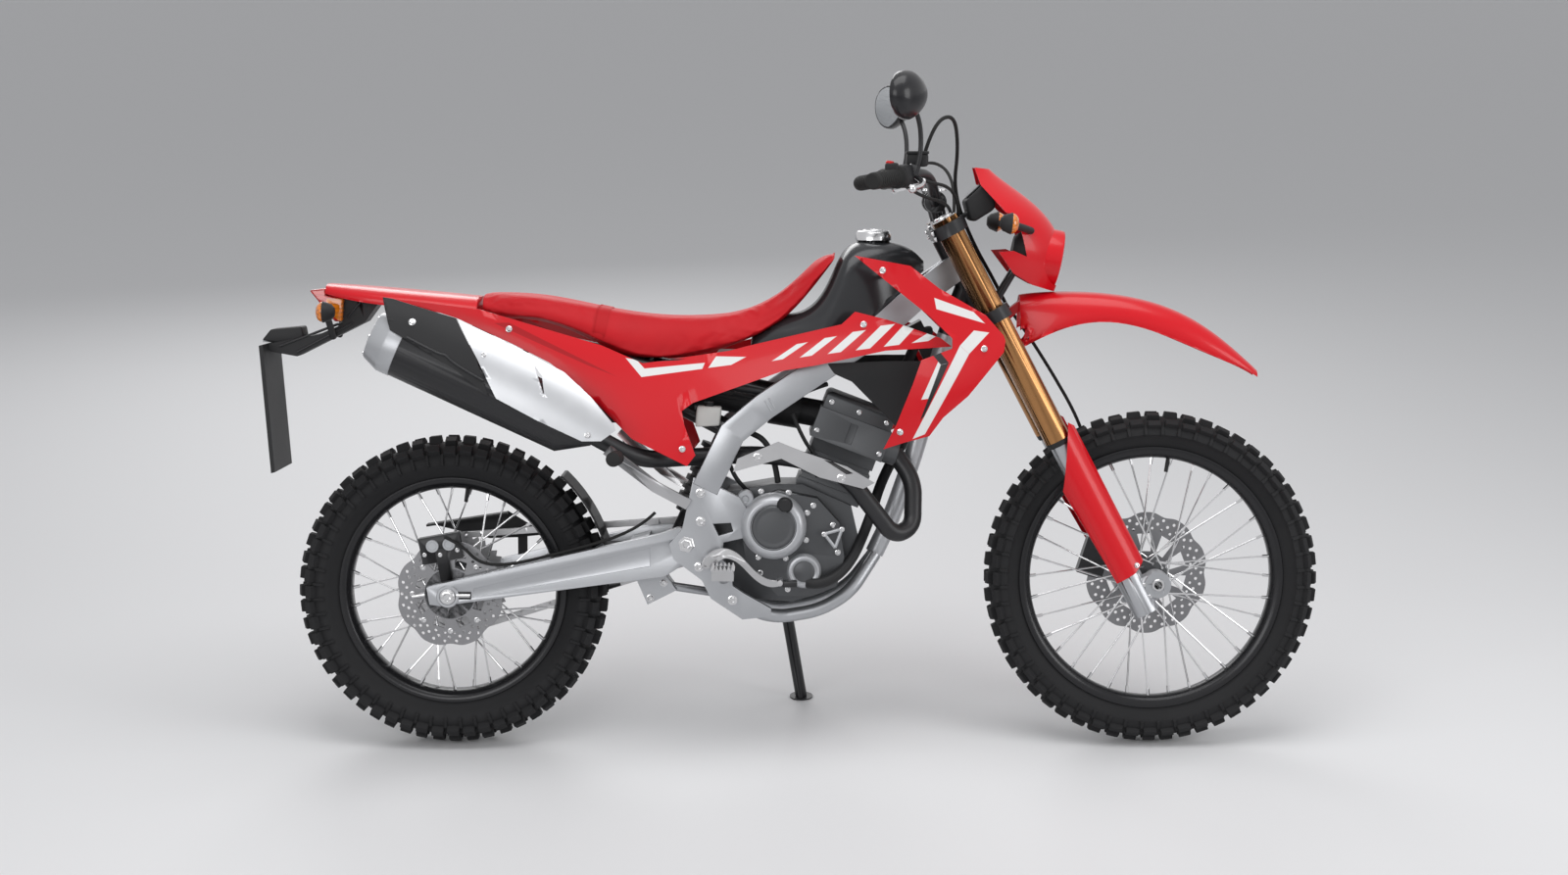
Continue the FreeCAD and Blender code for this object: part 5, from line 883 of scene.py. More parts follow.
def hub_piece(name, wheel, centre, seats):
    """The turned hub with two spoke flanges, and the seats of what is bolted to it."""
    flange_at, flange, hub, bore = (wheel[key] for key in ("flange_at", "flange", "hub", "bore"))
    left, right = (max([wheel["hub_half"]] + [reach for side, reach, _ in seats if side == wanted])
                   for wanted in (1, -1))
    section = [(-right, bore), (-right, hub * 0.8)]
    section += [(-flange_at + across, out) for across, out in
                ((-0.004, hub), (-0.0025, flange), (0.0025, flange), (0.006, hub))]
    section += [(0, hub * 0.86)]
    section += [(flange_at + across, out) for across, out in
                ((-0.006, hub), (-0.0025, flange), (0.0025, flange), (0.004, hub))]
    section += [(left, hub * 0.8), (left, bore)]
    parts = [spun(name, section, centre, steps=64)]
    for side, reach, radius in seats:
        low, high = sorted((side * flange_at, side * reach))
        seat = [(low, bore), (low, radius), (high - 0.001, radius), (high, radius - 0.001), (high, bore)]
        parts.append(spun(name, seat, centre, steps=48))
    return smooth(joined(name, parts))


def wheel_pieces(end, wheel, centre, seats):
    """Rim, spokes and hub, which stand for the frame's wheel, and the valve."""
    node = end + "_wheel"
    body = body_of(node)
    ridden(rim_piece(end + "_rim", wheel, centre), "black_rim", body, stands_for=[node])
    ridden(spokes_piece(end + "_spokes", wheel, centre), "bright_steel", body)
    ridden(hub_piece(end + "_hub", wheel, centre, seats), "engine_grey", body)
    foot, tip = (turned_point(0, wheel["bead"] - inward, 8, centre) for inward in (0.017, 0.046))
    settle(coat(smooth(bar(end + "_valve", foot, tip, 0.004)), "black_plastic"), body)


# Engine
CLUTCH = at(-0.59, -1.05, 4.66)
PUMP = at(0.03, -1.05, 3.73)
CYLINDER_TILT = math.radians(21)


def engine_pieces():
    """Clutch and pump covers, filler, plugs, hoses, wiring and bolts on the engine."""
    ring = [(0, 67), (22, 67), (30, 65), (40, 56), (41.5, 52), (40.5, 47), (36, 45.5), (36, 0)]
    turned("clutch_ring", "cast_bright", ring, CLUTCH, steps=72)
    cap = [(34, 44.5), (40, 44), (43, 41), (43.5, 37), (42.5, 34), (43, 31), (44, 0)]
    turned("clutch_cap", "engine_grey", cap, CLUTCH, steps=72)
    turned("pump_ring", "cast_bright", [(0, 35), (14, 35), (20, 31), (21, 27), (19, 23), (19, 0)], PUMP)
    turned("pump_cap", "engine_grey", [(17, 22), (22, 21), (24, 17), (24.5, 0)], PUMP)
    knob = [(0, 16), (6, 16), (6, 13.5), (16, 13), (18, 11), (18, 0)]
    turned("filler_cap", "black_plastic", knob, at(-0.36, -1.42, 5.12), steps=24)
    plug = [(0, 17), (26, 17), (28, 15), (28, 8), (26, 6), (26, 0)]
    turned("case_plug", "cast_bright", plug, at(-1.16, -0.86, 5.2))
    boss = [(0, 52), (11.2, 52), (14, 48), (14, 38), (9.8, 34), (9.8, 0)]
    turned("generator_cap", "cast_bright", boss, at(-0.1, 1.05, 4.3), ACROSS)
    for degrees in (20, 65, 110, 245, 290, 335):
        bolt(CLUTCH + radial(math.radians(degrees), 0.073), RIGHT, 4.5)
    for degrees in (90, 210, 330):
        bolt(PUMP + radial(math.radians(degrees), 0.027) + RIGHT * 0.0165, RIGHT, 3)
    bolt_on("engine_cover_right", 4.5, (-0.86, 3.68), (-0.3, 3.34), (0.5, 3.5), (0.72, 4.1), (0.62, 4.66),
            (0.22, 5.06))
    bolt_on("engine_cover_left", 4.5, (-0.8, 3.9), (-0.86, 4.6), (-0.5, 5.02), (0.2, 5.04), (0.7, 4.76),
            (0.8, 4.1), (0.55, 3.5), (-0.3, 3.4), side=1)
    for along, rise in ((-0.6, 1.85), (0.6, 1.85), (-0.68, 1.2), (0.68, 1.2), (0, 1.85)):
        x = 0.5 + rise * math.sin(CYLINDER_TILT) + along * math.cos(CYLINDER_TILT)
        z = 5.2 + rise * math.cos(CYLINDER_TILT) - along * math.sin(CYLINDER_TILT)
        for side in (-1, 1):
            bolt_on("cylinder", 4, (x, z), side=side)
    ridden(tube("water_hose", 0.011, (0.1, -1.2, 3.5), (0.4, -1.32, 3.45), (0.95, -1.0, 3.8),
                (1.35, -0.5, 4.6), (1.7, 0.2, 5.6), (2.35, 0.8, 6.5), (2.66, 1.0, 6.98)), "black_plastic")
    ridden(tube("upper_hose", 0.011, (1.9, 0.2, 7.2), (2.2, 0.5, 7.9), (2.5, 0.85, 8.5), (2.68, 1.0, 8.5)),
           "black_plastic")
    group("engine_wiring", "black_plastic", [
        tube("loom", 0.006, (-1.9, -0.4, 6.9), (-1.2, -0.8, 6.6), (-0.6, -0.9, 6.3), (-0.5, -0.8, 5.5)),
        tube("loom", 0.005, (-1.4, -0.5, 7.3), (-0.4, -0.9, 7.1), (0.1, -0.86, 7.4), (0.5, -0.6, 7.5)),
        tube("loom", 0.0045, (-1.7, -0.9, 6.6), (-1.5, -0.95, 5.9), (-1.3, -0.9, 5.5), (-1.1, -0.6, 5.3)),
        tube("loom", 0.004, (-0.2, -0.75, 6.9), (0.0, -0.8, 6.4), (0.3, -0.72, 6.0), (0.3, -0.6, 5.6)),
    ], 50)


def engine_fittings():
    """Bolts on the pipe's shield, the bright hose bracket, bands on the spars and the pedal's tip."""
    bolt_on("header_shield", 7, (-0.9, 6.1), (0.78, 5.67))
    corners = [at(0.44, -1.22, 4.5), at(0.8, -1.22, 4.6), at(0.66, -1.22, 4.22)]
    rods = [bar("bracket", corners[n], corners[(n + 1) % 3], 0.0035, 10) for n in range(3)]
    group("hose_bracket", "cast_bright", rods, 50)
    for corner in corners[:2]:
        bolt(corner + RIGHT * 0.004, RIGHT, 4)
    for side, node in ((-1, "frame_spar_right"), (1, "frame_spar_left")):
        bands = []
        for shift in (0.0, 0.08):
            points = []
            for share in (0.14, 0.24, 0.34, 0.44, 0.54, 0.64, 0.74):
                x, z = -0.8 + 0.22 * share + shift, 7.27 - 0.36 * share + shift * 0.6
                place, way = on_side(node, x, z, side)
                points.append(place + way * 0.0004)
            bands.append(hose("spar_band", points, 0.0016, 2))
        group("spar_bands", "cast_bright", bands, 50)
    ridden(block("pedal_tip", at(-0.26, -1.72, 3.56), (0.03, 0.03, 0.012), 0.003), "black_metal")


def plate_fittings():
    """The plate's lamp, the holder's ribs and the plate's bolts."""
    hood = [(-11.08, 8.38), (-10.9, 8.6), (-10.26, 8.66), (-10.2, 8.34), (-10.8, 8.32)]
    plated("plate_lamp", "black_plastic", hood, -0.03, 0.03, 0.004)
    ridden(block("plate_lamp_glass", at(-10.88, 0, 8.365), (0.04, 0.046, 0.006), 0.002), "clear_lens")
    ribs = []
    for y in (-0.357, 0.357):
        for start, end in (((-9.5, y, 8.72), (-10.7, y, 8.26)), ((-9.2, y, 8.74), (-10.35, y, 8.14)),
                           ((-9.0, y, 9.2), (-9.3, y, 8.85))):
            ribs.append(bar("holder_rib", at(*start), at(*end), 0.0022, 8))
    group("holder_ribs", "gloss_black", ribs, 50)
    for y in (-0.55, 0.55):
        for z in (8.05, 6.1):
            bolt(at(-11.01 + (8.3 - z) * 0.075, y, z), (-1, 0, -0.075), 4)


def reservoir():
    """The pale overflow bottle behind the spar, with its cap."""
    outline = [(-2.18, 6.66), (-1.68, 6.68), (-1.64, 7.06), (-2.14, 7.08)]
    plated("overflow_bottle", "white_plastic", outline, -0.104, -0.062, 0.004)
    cap = [(0, 10), (9, 10), (10, 8), (10, 0)]
    turned("overflow_cap", "black_plastic", cap, at(-1.9, -0.84, 7.06), (0, 0, 1), 20)


def inner_scoops():
    """Black panels between the covers, the tank and the head, one on each side."""
    outline = [(0.2, 7.94), (1.7, 8.0), (2.4, 8.0), (2.62, 7.58), (2.14, 6.42), (1.0, 7.58)]
    panels = [side_plate("inner_scoop", outline, side * 0.108, side * 0.104, 0.001) for side in (-1, 1)]
    group("inner_scoops", "black_plastic", panels)


# Soft seat
VOXEL = 0.006
SWELL_LIMIT = 0.007
CUSHION_PRESSURE = 4
CLOTH_FRAMES = 20
STRAP_STEPS = 24


def seat_pad():
    """The seat as one padded form, swollen by the cloth solver and held near its frame's shape."""
    piece = node_copy("seat", "seat_pad")
    piece.data.remesh_voxel_size = VOXEL
    bpy.ops.object.voxel_remesh()
    modified(piece, "DISPLACE", strength=-0.0035, mid_level=0.0)
    modified(piece, "SMOOTH", iterations=6)
    start = [vertex.co.copy() for vertex in piece.data.vertices]
    cloth = piece.modifiers.new("cloth", "CLOTH")
    cloth.settings.use_pressure = True
    cloth.settings.uniform_pressure_force = CUSHION_PRESSURE
    cloth.settings.effector_weights.gravity = 0
    for number in range(1, CLOTH_FRAMES + 1):
        bpy.context.scene.frame_set(number)
    finish_modifiers(piece)
    bpy.context.scene.frame_set(1)
    for vertex, first in zip(piece.data.vertices, start):
        moved = vertex.co - first
        if moved.length > SWELL_LIMIT:
            vertex.co = first + moved.normalized() * SWELL_LIMIT
    modified(piece, "SUBSURF", levels=1)
    coat(smooth(piece, 60), "seat_red")
    settle(piece, "chassis", ["seat"], upright=False)
    return piece


def seat_strap(seat):
    """The stitched strap over the seat, laid on its surface."""
    back = UPRIGHT.inverted()
    rows = []
    for x in (-4.22, -3.94):
        row = []
        for number in range(STRAP_STEPS + 1):
            turn = math.pi * number / STRAP_STEPS
            origin = at(x + 0.12 * (math.sin(turn) - 0.5), 0, 8.45)
            way = Vector((0, math.cos(turn), math.sin(turn) * 0.9)).normalized()
            hit, place, _, _ = seat.ray_cast(UPRIGHT @ (origin + way * 0.4), UPRIGHT.to_3x3() @ -way)
            if hit:
                row.append(back @ place + way * 0.0006)
        rows.append(row)
    count = min(len(row) for row in rows)
    faces = [(n, n + 1, count + n + 1, count + n) for n in range(count - 1)]
    mesh = bpy.data.meshes.new("seat_strap")
    mesh.from_pydata(rows[0][:count] + rows[1][:count], [], faces)
    strap = bpy.data.objects.new("seat_strap", mesh)
    bpy.context.scene.collection.objects.link(strap)
    modified(outward(strap), "SUBSURF", levels=2)
    modified(strap, "SOLIDIFY", thickness=0.0022, offset=0.0)
    ridden(smooth(strap, 40), "seat_strap")
    stitches = []
    for row, shift in zip(rows, (Vector((0.004, 0, 0)), Vector((-0.004, 0, 0)))):
        for first, second in zip(row, row[1:]):
            for share in (0.15, 0.45, 0.75):
                start = first.lerp(second, share) + shift
                end = first.lerp(second, share + 0.18) + shift
                out = Vector((0, start.y, (start.z - 0.85) * 0.9)).normalized() * 0.0011
                stitches.append(bar("stitch", start + out, end + out, 0.0005, 5))
    group("seat_stitches", "seat_strap", stitches)


# Handlebar and what it carries
BAR_END = (1.299, 4.07, 11.6)
BAR_INNER = (1.889, 2.9, 11.7)
LEVER_TIP = (2.06, 3.86, 11.46)
GRIP_RIBS = 11


def bar_ends(side):
    """The ends of a grip's line, the outer one first."""
    return [at(x, side * y, z) for x, y, z in (BAR_END, BAR_INNER)]


def grip_piece(side):
    """A ribbed grip with its flange."""
    end, inner = bar_ends(side)
    section = [(-2, 0), (-2, 13), (0, 16), (5, 16.6)]
    for number in range(GRIP_RIBS):
        first = 8 + number * 8.5
        section += [(first, 16.6), (first + 4.5, 16.6), (first + 5.3, 15.3), (first + 7.6, 15.3)]
    section += [(103, 16.6), (106, 22), (111, 22.5), (113, 21), (113, 11.6)]
    return turned_piece("grip", section, end, inner - end, 32, 30)


def controls():
    """Grips, levers, switch boxes, the brake's reservoir and the cables."""
    group("bar_grips", "grip_rubber", [grip_piece(1), grip_piece(-1)], 30, body="steering",
          stands_for=["bar_controls"])
    dark, bright = [], []
    for side in (-1, 1):
        end, inner = bar_ends(side)
        along = (inner - end).normalized()
        turn = along.to_track_quat("X", "Z").to_matrix().to_4x4()
        dark.append(block("switch_box", end + along * 0.136, (0.04, 0.036, 0.044), 0.007, turn))
        dark.append(block("perch_clamp", end + along * 0.172, (0.02, 0.034, 0.034), 0.005, turn))
        dark.append(block("perch", at(2.06, side * 2.66, 11.76), (0.03, 0.026, 0.024), 0.006, turn))
        bright.append(tube("lever", 0.0056, (2.12, 2.62, 11.72), (2.32, 2.82, 11.62), (2.28, 3.1, 11.52),
                           (2.18, 3.5, 11.48), LEVER_TIP, side=side, sides=4))
        x, y, z = LEVER_TIP
        bright.append(smooth(ball("lever_tip", at(x, side * y, z), 0.0085, 16, 10), 60))
        bolt(at(2.1, side * 2.7, 11.9), HEAD_UP, 4.5, "steering")
    dark.append(block("brake_reservoir", at(2.22, -2.46, 12.02), (0.042, 0.05, 0.026), 0.006))
    dark.append(block("reservoir_lid", at(2.22, -2.46, 12.16), (0.044, 0.052, 0.006), 0.002))
    bright.append(block("cable_adjuster", at(2.3, -2.52, 11.6), (0.016, 0.04, 0.014), 0.004))
    dark.append(block("button_base", at(1.7, -3.08, 11.86), (0.026, 0.028, 0.02), 0.005))
    turned("kill_button", "red_button", [(0, 8), (5, 8), (6.5, 6), (6.5, 0)], at(1.66, -3.12, 11.93),
           (0.1, 0, 1), 20, body="steering")
    cables = [
        tube("cable", 0.0038, (2.3, -2.4, 11.9), (2.5, -2.55, 12.7), (2.95, -2.2, 12.95), (3.1, -1.4, 12.3),
             (3.05, -0.6, 11.4), (3.5, 0.3, 10.4), (4.05, 0.82, 9.5), (4.25, 0.84, 9.1)),
        tube("cable", 0.0034, (1.85, -2.75, 11.6), (2.3, -2.3, 11.3), (2.9, -1.3, 11.2), (3.05, -0.6, 10.8),
             (2.9, -0.3, 10.2)),
        tube("cable", 0.0034, (1.9, -2.8, 11.75), (2.4, -2.3, 11.6), (3.0, -1.4, 11.5), (3.2, -0.7, 10.9),
             (3.05, -0.35, 10.2)),
        tube("cable", 0.0034, (2.1, 2.6, 11.75), (2.6, 2.2, 12.1), (3.1, 1.3, 11.9), (3.2, 0.6, 11.1),
             (3.05, 0.35, 10.2)),
    ]
    group("bar_switches", "black_plastic", dark, body="steering")
    group("bar_levers", "bright_steel", bright, 50, body="steering")
    group("bar_cables", "grip_rubber", cables, 60, body="steering")


def mirror_pieces():
    """Teardrop housings with flat glass, on bent stems."""
    housings, glasses, stems = [], [], []
    for side in (-1, 1):
        turn = Matrix.Rotation(math.radians(side * 28), 4, "Z")
        place = Matrix.Translation(at(1.97, side * 3.3, 13.27)) @ turn
        shell = ball("mirror_housing", (0, 0, 0), 1, 48, 24)
        glass = bar("mirror_glass", (-0.0008, 0, 0), (0.0008, 0, 0), 1, 40)
        for piece, width, height in ((shell, 0.062, 0.05), (glass, 0.056, 0.045)):
            for vertex in piece.data.vertices:
                x, y, z = vertex.co
                narrow = 1 - 0.28 * max(0.0, -y * side) - 0.1 * max(0.0, z)
                x = x - 0.0082 if piece is glass else max(x * 0.034, -0.008)
                vertex.co = (x, y * width, z * height * narrow)
            piece.data.transform(place)
        housings.append(smooth(outward(shell), 40))
        glasses.append(smooth(glass, 40))
        stems.append(tube("mirror_stem", 0.0048, (2.14, 2.76, 11.72), (2.26, 2.8, 12.0), (2.28, 2.85, 12.5),
                          (2.2, 3.0, 12.9), (2.04, 3.25, 13.2), side=side, sides=4))
        nut_ends = at(2.13, side * 2.76, 11.74), at(2.19, side * 2.78, 11.92)
        stems.append(bar("mirror_nut", *nut_ends, 0.0095, 6))
    group("mirror_housings", "gloss_black", housings, 40, body="steering", slot="black_metal",
          stands_for=["mirrors"])
    group("mirror_glasses", "mirror_glass", glasses, 40, body="steering")
    group("mirror_stems", "black_metal", stems, 40, body="steering")


# Lamps
LAMP_FOOT = at(4.3, 0, 10.22)
LAMP_WAY = (1.06, 0, -0.2)


def signals(end, centre, way, radius, stalk, body):
    """A pair of round signals: dark cups on stalks, and domed amber lenses."""
    cups, domes = [], []
    for side in (-1, 1):
        foot = at(centre[0], side * centre[1], centre[2])
        cup = [(-20, 0), (-20, 9), (-14, 16), (0, 21), (3, 22), (4, 20)]
        cups.append(turned_piece(end + "_cup", cup, foot, way, 32))
        cups.append(tube(end + "_stalk", radius, *stalk, side=side))
        dome = [(2, 20.5), (6, 20.5), (12, 17), (16, 11), (18, 0)]
        domes.append(turned_piece(end + "_lens", dome, foot, way, 32))
    group(end + "_signal_cups", "black_plastic", cups, 40, body=body)
    group(end + "_signal_lenses", "amber_lens", domes, 40, body=body)


def lamp_pieces():
    """Headlamp, its lip and struts, the front and rear signals, and the tail lens."""
    signals("front", (4.12, 1.65, 10.78), (1, 0, -0.1), 0.0075,
            [(4.62, 0.8, 10.62), (4.4, 1.2, 10.7), (4.1, 1.6, 10.77)], "steering")
    bucket = [(0, 0), (0, 30), (18, 46), (60, 53), (94, 55), (97, 54), (97, 49), (90, 46), (70, 30), (60, 0)]
    turned("headlamp_bucket", "black_plastic", bucket, LAMP_FOOT, LAMP_WAY, body="steering",
           stands_for=["front_lamps"])
    glass = [(88, 50), (97, 50), (102, 44), (106, 28), (107.5, 0)]
    turned("headlamp_lens", "clear_lens", glass, LAMP_FOOT, LAMP_WAY, body="steering", slot="smoked_lens")
    lip = [(62, 55), (64, 58), (95, 57.5), (99, 56.5), (100, 54.5), (97, 53.5)]
    turned("mask_lip", "red_plastic", lip, LAMP_FOOT, LAMP_WAY, 64, body="steering")
    struts = [bar("lamp_strut", at(3.9, y, 9.05), at(4.45, y, 9.98), 0.006, 10) for y in (-0.3, 0.3)]
    group("lamp_struts", "black_metal", struts, body="steering")
    signals("rear", (-9.62, 1.2, 9.0), (-1, 0, 0), 0.007,
            [(-9.6, 0.36, 8.45), (-9.6, 0.7, 8.7), (-9.6, 1.1, 8.95)], "chassis")
    outline = [(-10.06, 9.41), (-9.72, 9.45), (-9.71, 9.31), (-9.36, 9.25), (-9.4, 8.77), (-9.55, 8.77)]
    plated("tail_lens", "lamp_glass", outline, -0.049, 0.049, 0.004, 40, stands_for=["rear_lamps"])


def fork_detail():
    """Wipers, caps and bolts on the fork's legs and clamps, and the stem's nut."""
    wiper = [(-11, 21.6), (-11, 24.5), (-8, 26), (-2, 26.2), (0, 27.1), (0, 21.6)]
    cap = [(-2, 26.5), (0, 26.5), (1.5, 25), (2, 21), (6, 20), (7, 18.5), (7, 8), (5, 7), (5, 0)]
    wipers, caps = [], []
    for side in (-FORK_SIDE, FORK_SIDE):
        wipers.append(turned_piece("wiper", wiper, fork_spot(0.714, FORK_LEAD, side), HEAD_UP, 32))
        caps.append(turned_piece("leg_cap", cap, fork_spot(1.218, FORK_LEAD, side), HEAD_UP, 24))
        for height in (0.992, 1.004, 1.189, 1.201):
            bolt(fork_spot(height, FORK_LEAD - 0.033, side * 1.16), (-0.9, 0, -0.2), 4.5, "steering")
    group("fork_wipers", "black_plastic", wipers, body="steering")
    group("fork_caps", "bright_steel", caps, body="steering")
    nut = [(0, 20), (6, 20), (8, 17), (12, 17), (12, 9), (8, 8), (8, 0)]
    turned("stem_nut", "bright_steel", nut, fork_spot(1.208), HEAD_UP, 24, body="steering")
    for side in (-1, 1):
        for ahead in (-0.0165, 0.0165):
            bolt(at(2.7, side * 0.45, 11.2) + Vector((ahead, 0, 0.0225)), (0, 0, 1), 4.5, "steering")
        bolt_on("fork_guards", 4.5, (6.78, 3.86), side=side)


def muffler_detail():
    """The muffler's end, and the bolts and ridge of its covers."""
    end, start = at(-8.55, -1.8, 8.58), at(-4.16, -1.74, 6.54)
    along = (end - start).normalized()
    base = end - along * 0.061
    ring = [(0, 61.3), (1, 62.4), (27, 62.4), (31, 60.5), (57, 50), (61, 47), (61, 41), (48, 37), (46, 24),
            (46, 0)]
    turned("muffler_end", "cast_bright", ring, base, along, 64)
    lip = [(44, 23.5), (62, 23.5), (65, 22), (65, 19.5), (46, 19), (45, 0)]
    turned("muffler_lip", "bright_steel", lip, base, along, 40)
    for degrees in range(30, 360, 60):
        turn = math.radians(degrees)
        out = along.cross(ACROSS).normalized() * math.cos(turn) + ACROSS * math.sin(turn)
        bolt(base + along * 0.06 + out * 0.044, along, 3.2)
    ridge = []
    for x, z in ((-7.8, 8.56), (-7.16, 8.22), (-7.04, 8.22), (-6.86, 8.02), (-6.3, 7.7)):
        place, way = on_side("muffler_cover", x, z)
        ridge.append(place + way * 0.001)
    ridden(hose("cover_ridge", ridge, 0.0028), "gloss_black")
    bolt_on("muffler_cover", 5.5, (-7.7, 8.85))
    bolt_on("muffler_shield", 5, (-4.25, 6.62))
    bolt_on("muffler_shield", 4, (-6.3, 8.2))


def side_detail(side, hand):
    """One side's panel bolts, pivot nut, chain adjuster with painted shade in its slot, axle nuts and front
    axle end.
    """
    outward_way = ACROSS * side
    bolt_on("side_cover" + hand, 5, (-2.42, 6.26), (1.22, 8.76), (-5.9, 8.66), side=side)
    bolt_on("shroud" + hand, 5, (1.95, 6.62), (1.6, 9.84), (3.6, 8.3), side=side)
    bolt_on("pivot_plate" + hand, 7.5, (-2.06, 5.35), (-2.06, 4.77), (-2.1, 3.84), (-1.42, 3.16), side=side)
    pivot, _ = on_side("pivot_plate" + hand, -2.35, 4.3, side)
    nut = [(-4, 17), (2, 17), (3, 15), (3, 11.5), (8, 11), (9, 9.5), (9, 7), (5, 6), (5, 0)]
    turned("pivot_nut", "bright_steel", nut, pivot, outward_way, 6, 20)
    axle = REAR_AXLE + outward_way * 0.1125
    # A black plate ahead of the axle: painted shade in the swingarm's open axle slot
    slot = block("adjuster_slot_shade", axle + Vector((0.028, 0, 0.002)), (0.04, 0.004, 0.016), 0.0018)
    ridden(slot, "black_metal")
    boss = [(-2, 23), (2, 23), (3.5, 21.5), (3.5, 17), (2, 16), (2, 0)]
    turned("axle_boss", "frame_silver", boss, axle, outward_way, 40)
    screw = axle + Vector((0.018, 0.002 * side, 0.002))
    fittings = [bar("adjuster_bolt", screw, screw + FRONT * 0.028, 0.0038, 10)]
    nut = [(2, 15.5), (5, 15.5), (6, 13.5), (12, 13), (13, 11), (13, 8), (9, 7), (9, 0)]
    fittings.append(turned_piece("axle_nut", nut, axle, outward_way, 24))
    tail = REAR_AXLE + Vector((-0.048, side * 0.1, 0.002))
    fittings.append(bar("adjuster_screw", tail, tail + Vector((-0.026, 0, -0.004)), 0.0045, 12))
    group("axle_fittings", "bright_steel", fittings)
    end_cap = [(0, 12), (1, 12.5), (2.5, 11), (2.5, 8.2), (-6, 8.0)]
    turned("front_axle_end", "bright_steel", end_cap, FRONT_AXLE + outward_way * 0.1243, outward_way, 32,
           body="steering")


def foot_and_tank_detail():
    """Pinch bolts at the fork's feet, the filler's lid and the chain's guide."""
    clamp = fork_spot(HEAD_UP.dot(FRONT_AXLE - HEAD_FOOT), FORK_LEAD).lerp(FRONT_AXLE, 0.45)
    for shift in (-0.013, 0.013):
        place = (clamp + HEAD_UP * shift) * 10
        for side in (-1, 1):
            bolt_on("fork_sliders", 3.6, (place.x, place.z), side=side)
    lid = [(-13, 35), (-12, 37), (2, 36.5), (4, 35), (6, 34.5), (8, 31), (8, 22), (10, 20), (10, 6), (11, 5),
           (11, 0)]
    turned("filler_lid", "bright_steel", lid, at(1.46, 0, 10.54), (0, 0, 1))
    outline = [(-5.0, 3.52), (-4.2, 3.72), (-4.15, 3.52), (-4.3, 3.18), (-4.8, 3.06), (-5.1, 3.22)]
    guide = [side_plate("chain_guide", outline, y, y + 0.004, 0.001) for y in (0.066, 0.084)]
    group("chain_guide", "white_plastic", guide)


def peg_pieces():
    """Teeth on the rider's pegs with painted shade between them, and ribbed sleeves on the passenger's."""
    deselect()
    bpy.ops.mesh.primitive_cone_add(
        vertices=4, radius1=0.0042, radius2=0.0009, depth=0.009, location=(0, 0, 0))
    pattern = named("tooth_pattern")
    for side in (-1, 1):
        teeth = []
        for number in range(6):
            share = number / 5
            places = [(-1.8 + 0.4 * share, 1.66), (-1.8 + 0.4 * share, 2.18)]
            if 0 < number < 5:
                places += [(-1.8, 1.66 + 0.52 * share), (-1.4, 1.66 + 0.52 * share)]
            teeth += [copied(pattern, Matrix.Translation(at(x, side * y, 3.93))) for x, y in places]
        ridden(joined("peg_teeth", teeth), "bright_steel")
        # A black plate in the peg's open middle: painted shade
        ridden(block("peg_well_shade", at(-1.6, side * 1.92, 3.9), (0.026, 0.036, 0.004), 0.001), "black_metal")
        section = [(8, 12.2)]
        for first in range(9, 59, 10):
            section += [(first, 15), (first + 6, 15), (first + 7, 13.6), (first + 9, 13.6)]
        section += [(62, 15), (67, 14), (68, 10), (68, 0)]
        start, end = at(-3.7, side * 1.95, 6.13), at(-3.74, side * 2.6, 6.16)
        turned("peg_sleeve", "grip_rubber", section, start, end - start, 24, 30)
    removed(pattern)


def rear_brake_detail():
    """The rear caliper's caps and pins, its hose, and the bolts of the linkage."""
    caps = []
    for x, z in ((-7.56, 4.2), (-7.22, 4.24)):
        place, way = on_side("rear_caliper", x, z)
        section = [(-3, 13), (2.5, 13), (3.5, 12), (3.5, 9), (2.2, 8), (2.2, 0)]
        caps.append(turned_piece("caliper_cap", section, place, way, 28))
    group("caliper_caps", "cast_bright", caps)
    bolt_on("rear_caliper", 3.4, (-7.72, 4.02), (-7.05, 4.12), (-7.4, 4.02))
    run = tube("rear_brake_hose", 0.0032, (-7.3, -0.95, 4.4), (-6.95, -0.99, 4.25), (-6.6, -0.99, 3.86),
               (-6.0, -0.99, 3.82), (-5.0, -0.99, 4.06), (-3.4, -0.99, 4.5), (-3.0, -0.9, 4.9))
    ridden(smooth(run, 60), "grip_rubber")
    bolt_on("shock_linkage", 6, (-3.33, 3.52), (-2.86, 3.36), (-3.14, 3.04))


def gauge():
    """The instrument behind the mask, its sloping glass and its stay."""
    outline = [(3.3, 11.22), (3.68, 11.58), (3.8, 11.54), (3.93, 11.14), (3.88, 11.04), (3.5, 10.8),
               (3.4, 10.84)]
    parts = [side_plate("gauge", outline, -0.055, 0.055, 0.006)]
    parts += [bar("gauge_stay", at(3.1, y, 10.85), at(3.5, y, 11.0), 0.005, 10) for y in (-0.25, 0.25)]
    group("gauge", "black_plastic", parts, body="steering", stands_for=["instrument"])
    outline = [(3.335, 11.285), (3.665, 11.595), (3.655, 11.61), (3.32, 11.3)]
    plated("gauge_glass", "smoked_lens", outline, -0.045, 0.045, body="steering")


# Discs
DISC_STEPS = 120
PLATE_HALF = 0.002
CUT_REACH = 0.01
WAVE_DEPTH = 0.0032
BORE_RADIUS = 0.0118


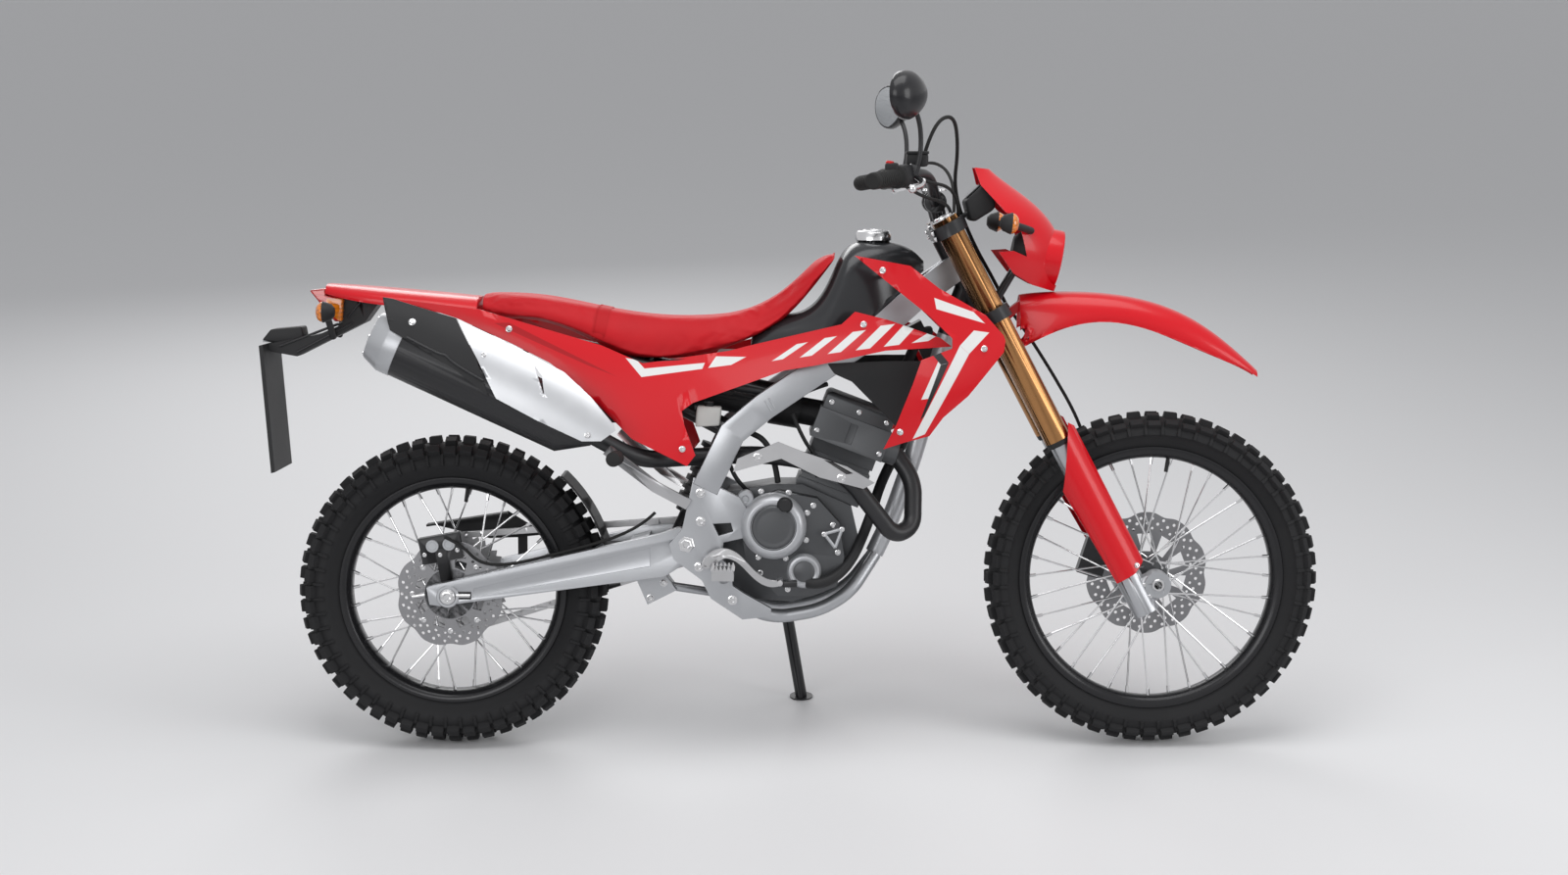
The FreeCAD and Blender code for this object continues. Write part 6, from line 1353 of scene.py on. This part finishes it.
def petal_disc(name, node, centre, side, radius, inner, holes, waves):
    """A petal-edged disc with slots and holes cut through, and its bolts."""
    outline = []
    for number in range(DISC_STEPS):
        turn = math.tau * number / DISC_STEPS
        reach = radius - WAVE_DEPTH * (1 + math.cos(waves * turn)) ** 2 / 2
        outline.append(centre + radial(turn, reach) + ACROSS * (side - PLATE_HALF))
    plate = extruded(name, outline, ACROSS * 2 * PLATE_HALF)
    cutters = []
    for number in range(holes):
        turn = math.tau * number / holes
        for share, twist, size in ((0.9, 0.0, 0.0034), (0.82, 0.09, 0.0034), (0.74, -0.02, 0.003)):
            middle = centre + radial(turn + twist, radius * share) + ACROSS * side
            cutters.append(bar("cut", middle - ACROSS * CUT_REACH, middle + ACROSS * CUT_REACH, size, 10))
    for number in range(waves):
        turn = math.tau * (number + 0.5) / waves
        corners = [centre + radial(turn + twist, radius * share) + ACROSS * (side - CUT_REACH)
                   for share, twist in ((inner, -0.2), (inner, 0.2), (0.66, 0.24), (0.66, -0.12))]
        cutters.append(extruded("cut", corners, ACROSS * 2 * CUT_REACH))
    near, far = (centre + ACROSS * (side + reach) for reach in (-CUT_REACH, CUT_REACH))
    bore = bar("cut", near, far, BORE_RADIUS, 32)
    for cutter in (joined("cutters", cutters), bore):
        modified(plate, "BOOLEAN", operation="DIFFERENCE", object=cutter, solver="EXACT")
        removed(cutter)
    ridden(smooth(plate, 30), "disc_steel", body_of(node), stands_for=[node])
    outside = ACROSS * math.copysign(1, side)
    for number in range(waves):
        place = centre + radial(math.tau * number / waves, radius * 0.7) + ACROSS * side
        bolt(place + outside * PLATE_HALF, outside, 4.2, body_of(node))


set_camera()
set_stage()

tyre_piece("front_tyre_tread", "front_tyre", FRONT_TYRE, FRONT_AXLE)
tyre_piece("rear_tyre_tread", "rear_tyre", REAR_TYRE, REAR_AXLE)
wheel_pieces("front", FRONT_WHEEL, FRONT_AXLE, [(1, 0.054, 0.0357)])
wheel_pieces("rear", REAR_WHEEL, REAR_AXLE, [(-1, 0.076, 0.0517), (1, 0.0785, 0.0297)])
petal_disc("front_disc_petals", "front_disc", FRONT_AXLE, 0.052, 0.128, 0.36, 30, 10)
petal_disc("rear_disc_petals", "rear_disc", REAR_AXLE, -0.074, 0.11, 0.5, 26, 8)
engine_pieces()
engine_fittings()
plate_fittings()
reservoir()
inner_scoops()
seat_strap(seat_pad())
controls()
mirror_pieces()
lamp_pieces()
fork_detail()
muffler_detail()
side_detail(-1, "_right")
side_detail(1, "_left")
foot_and_tank_detail()
peg_pieces()
rear_brake_detail()
gauge()

# The other frame nodes: some have a finish of their own, some have rounded edges, in metres
OWN_FINISH = {
    "side_cover": "cover_red", "shroud": "shroud_red", "muffler_shield": "shield_silver",
    "frame_head": "head_frame",
}
EDGES = {
    "cylinder": 0.0015, "engine_cover": 0.002, "crankcase": 0.002, "pivot_plate": 0.002,
    "frame_spar": 0.003, "swingarm": 0.003,
}
for node in nodes:
    if node not in stood_for:
        kind = node.removesuffix("_left").removesuffix("_right")
        dressed(node, OWN_FINISH.get(kind), EDGES.get(kind))
bolts()
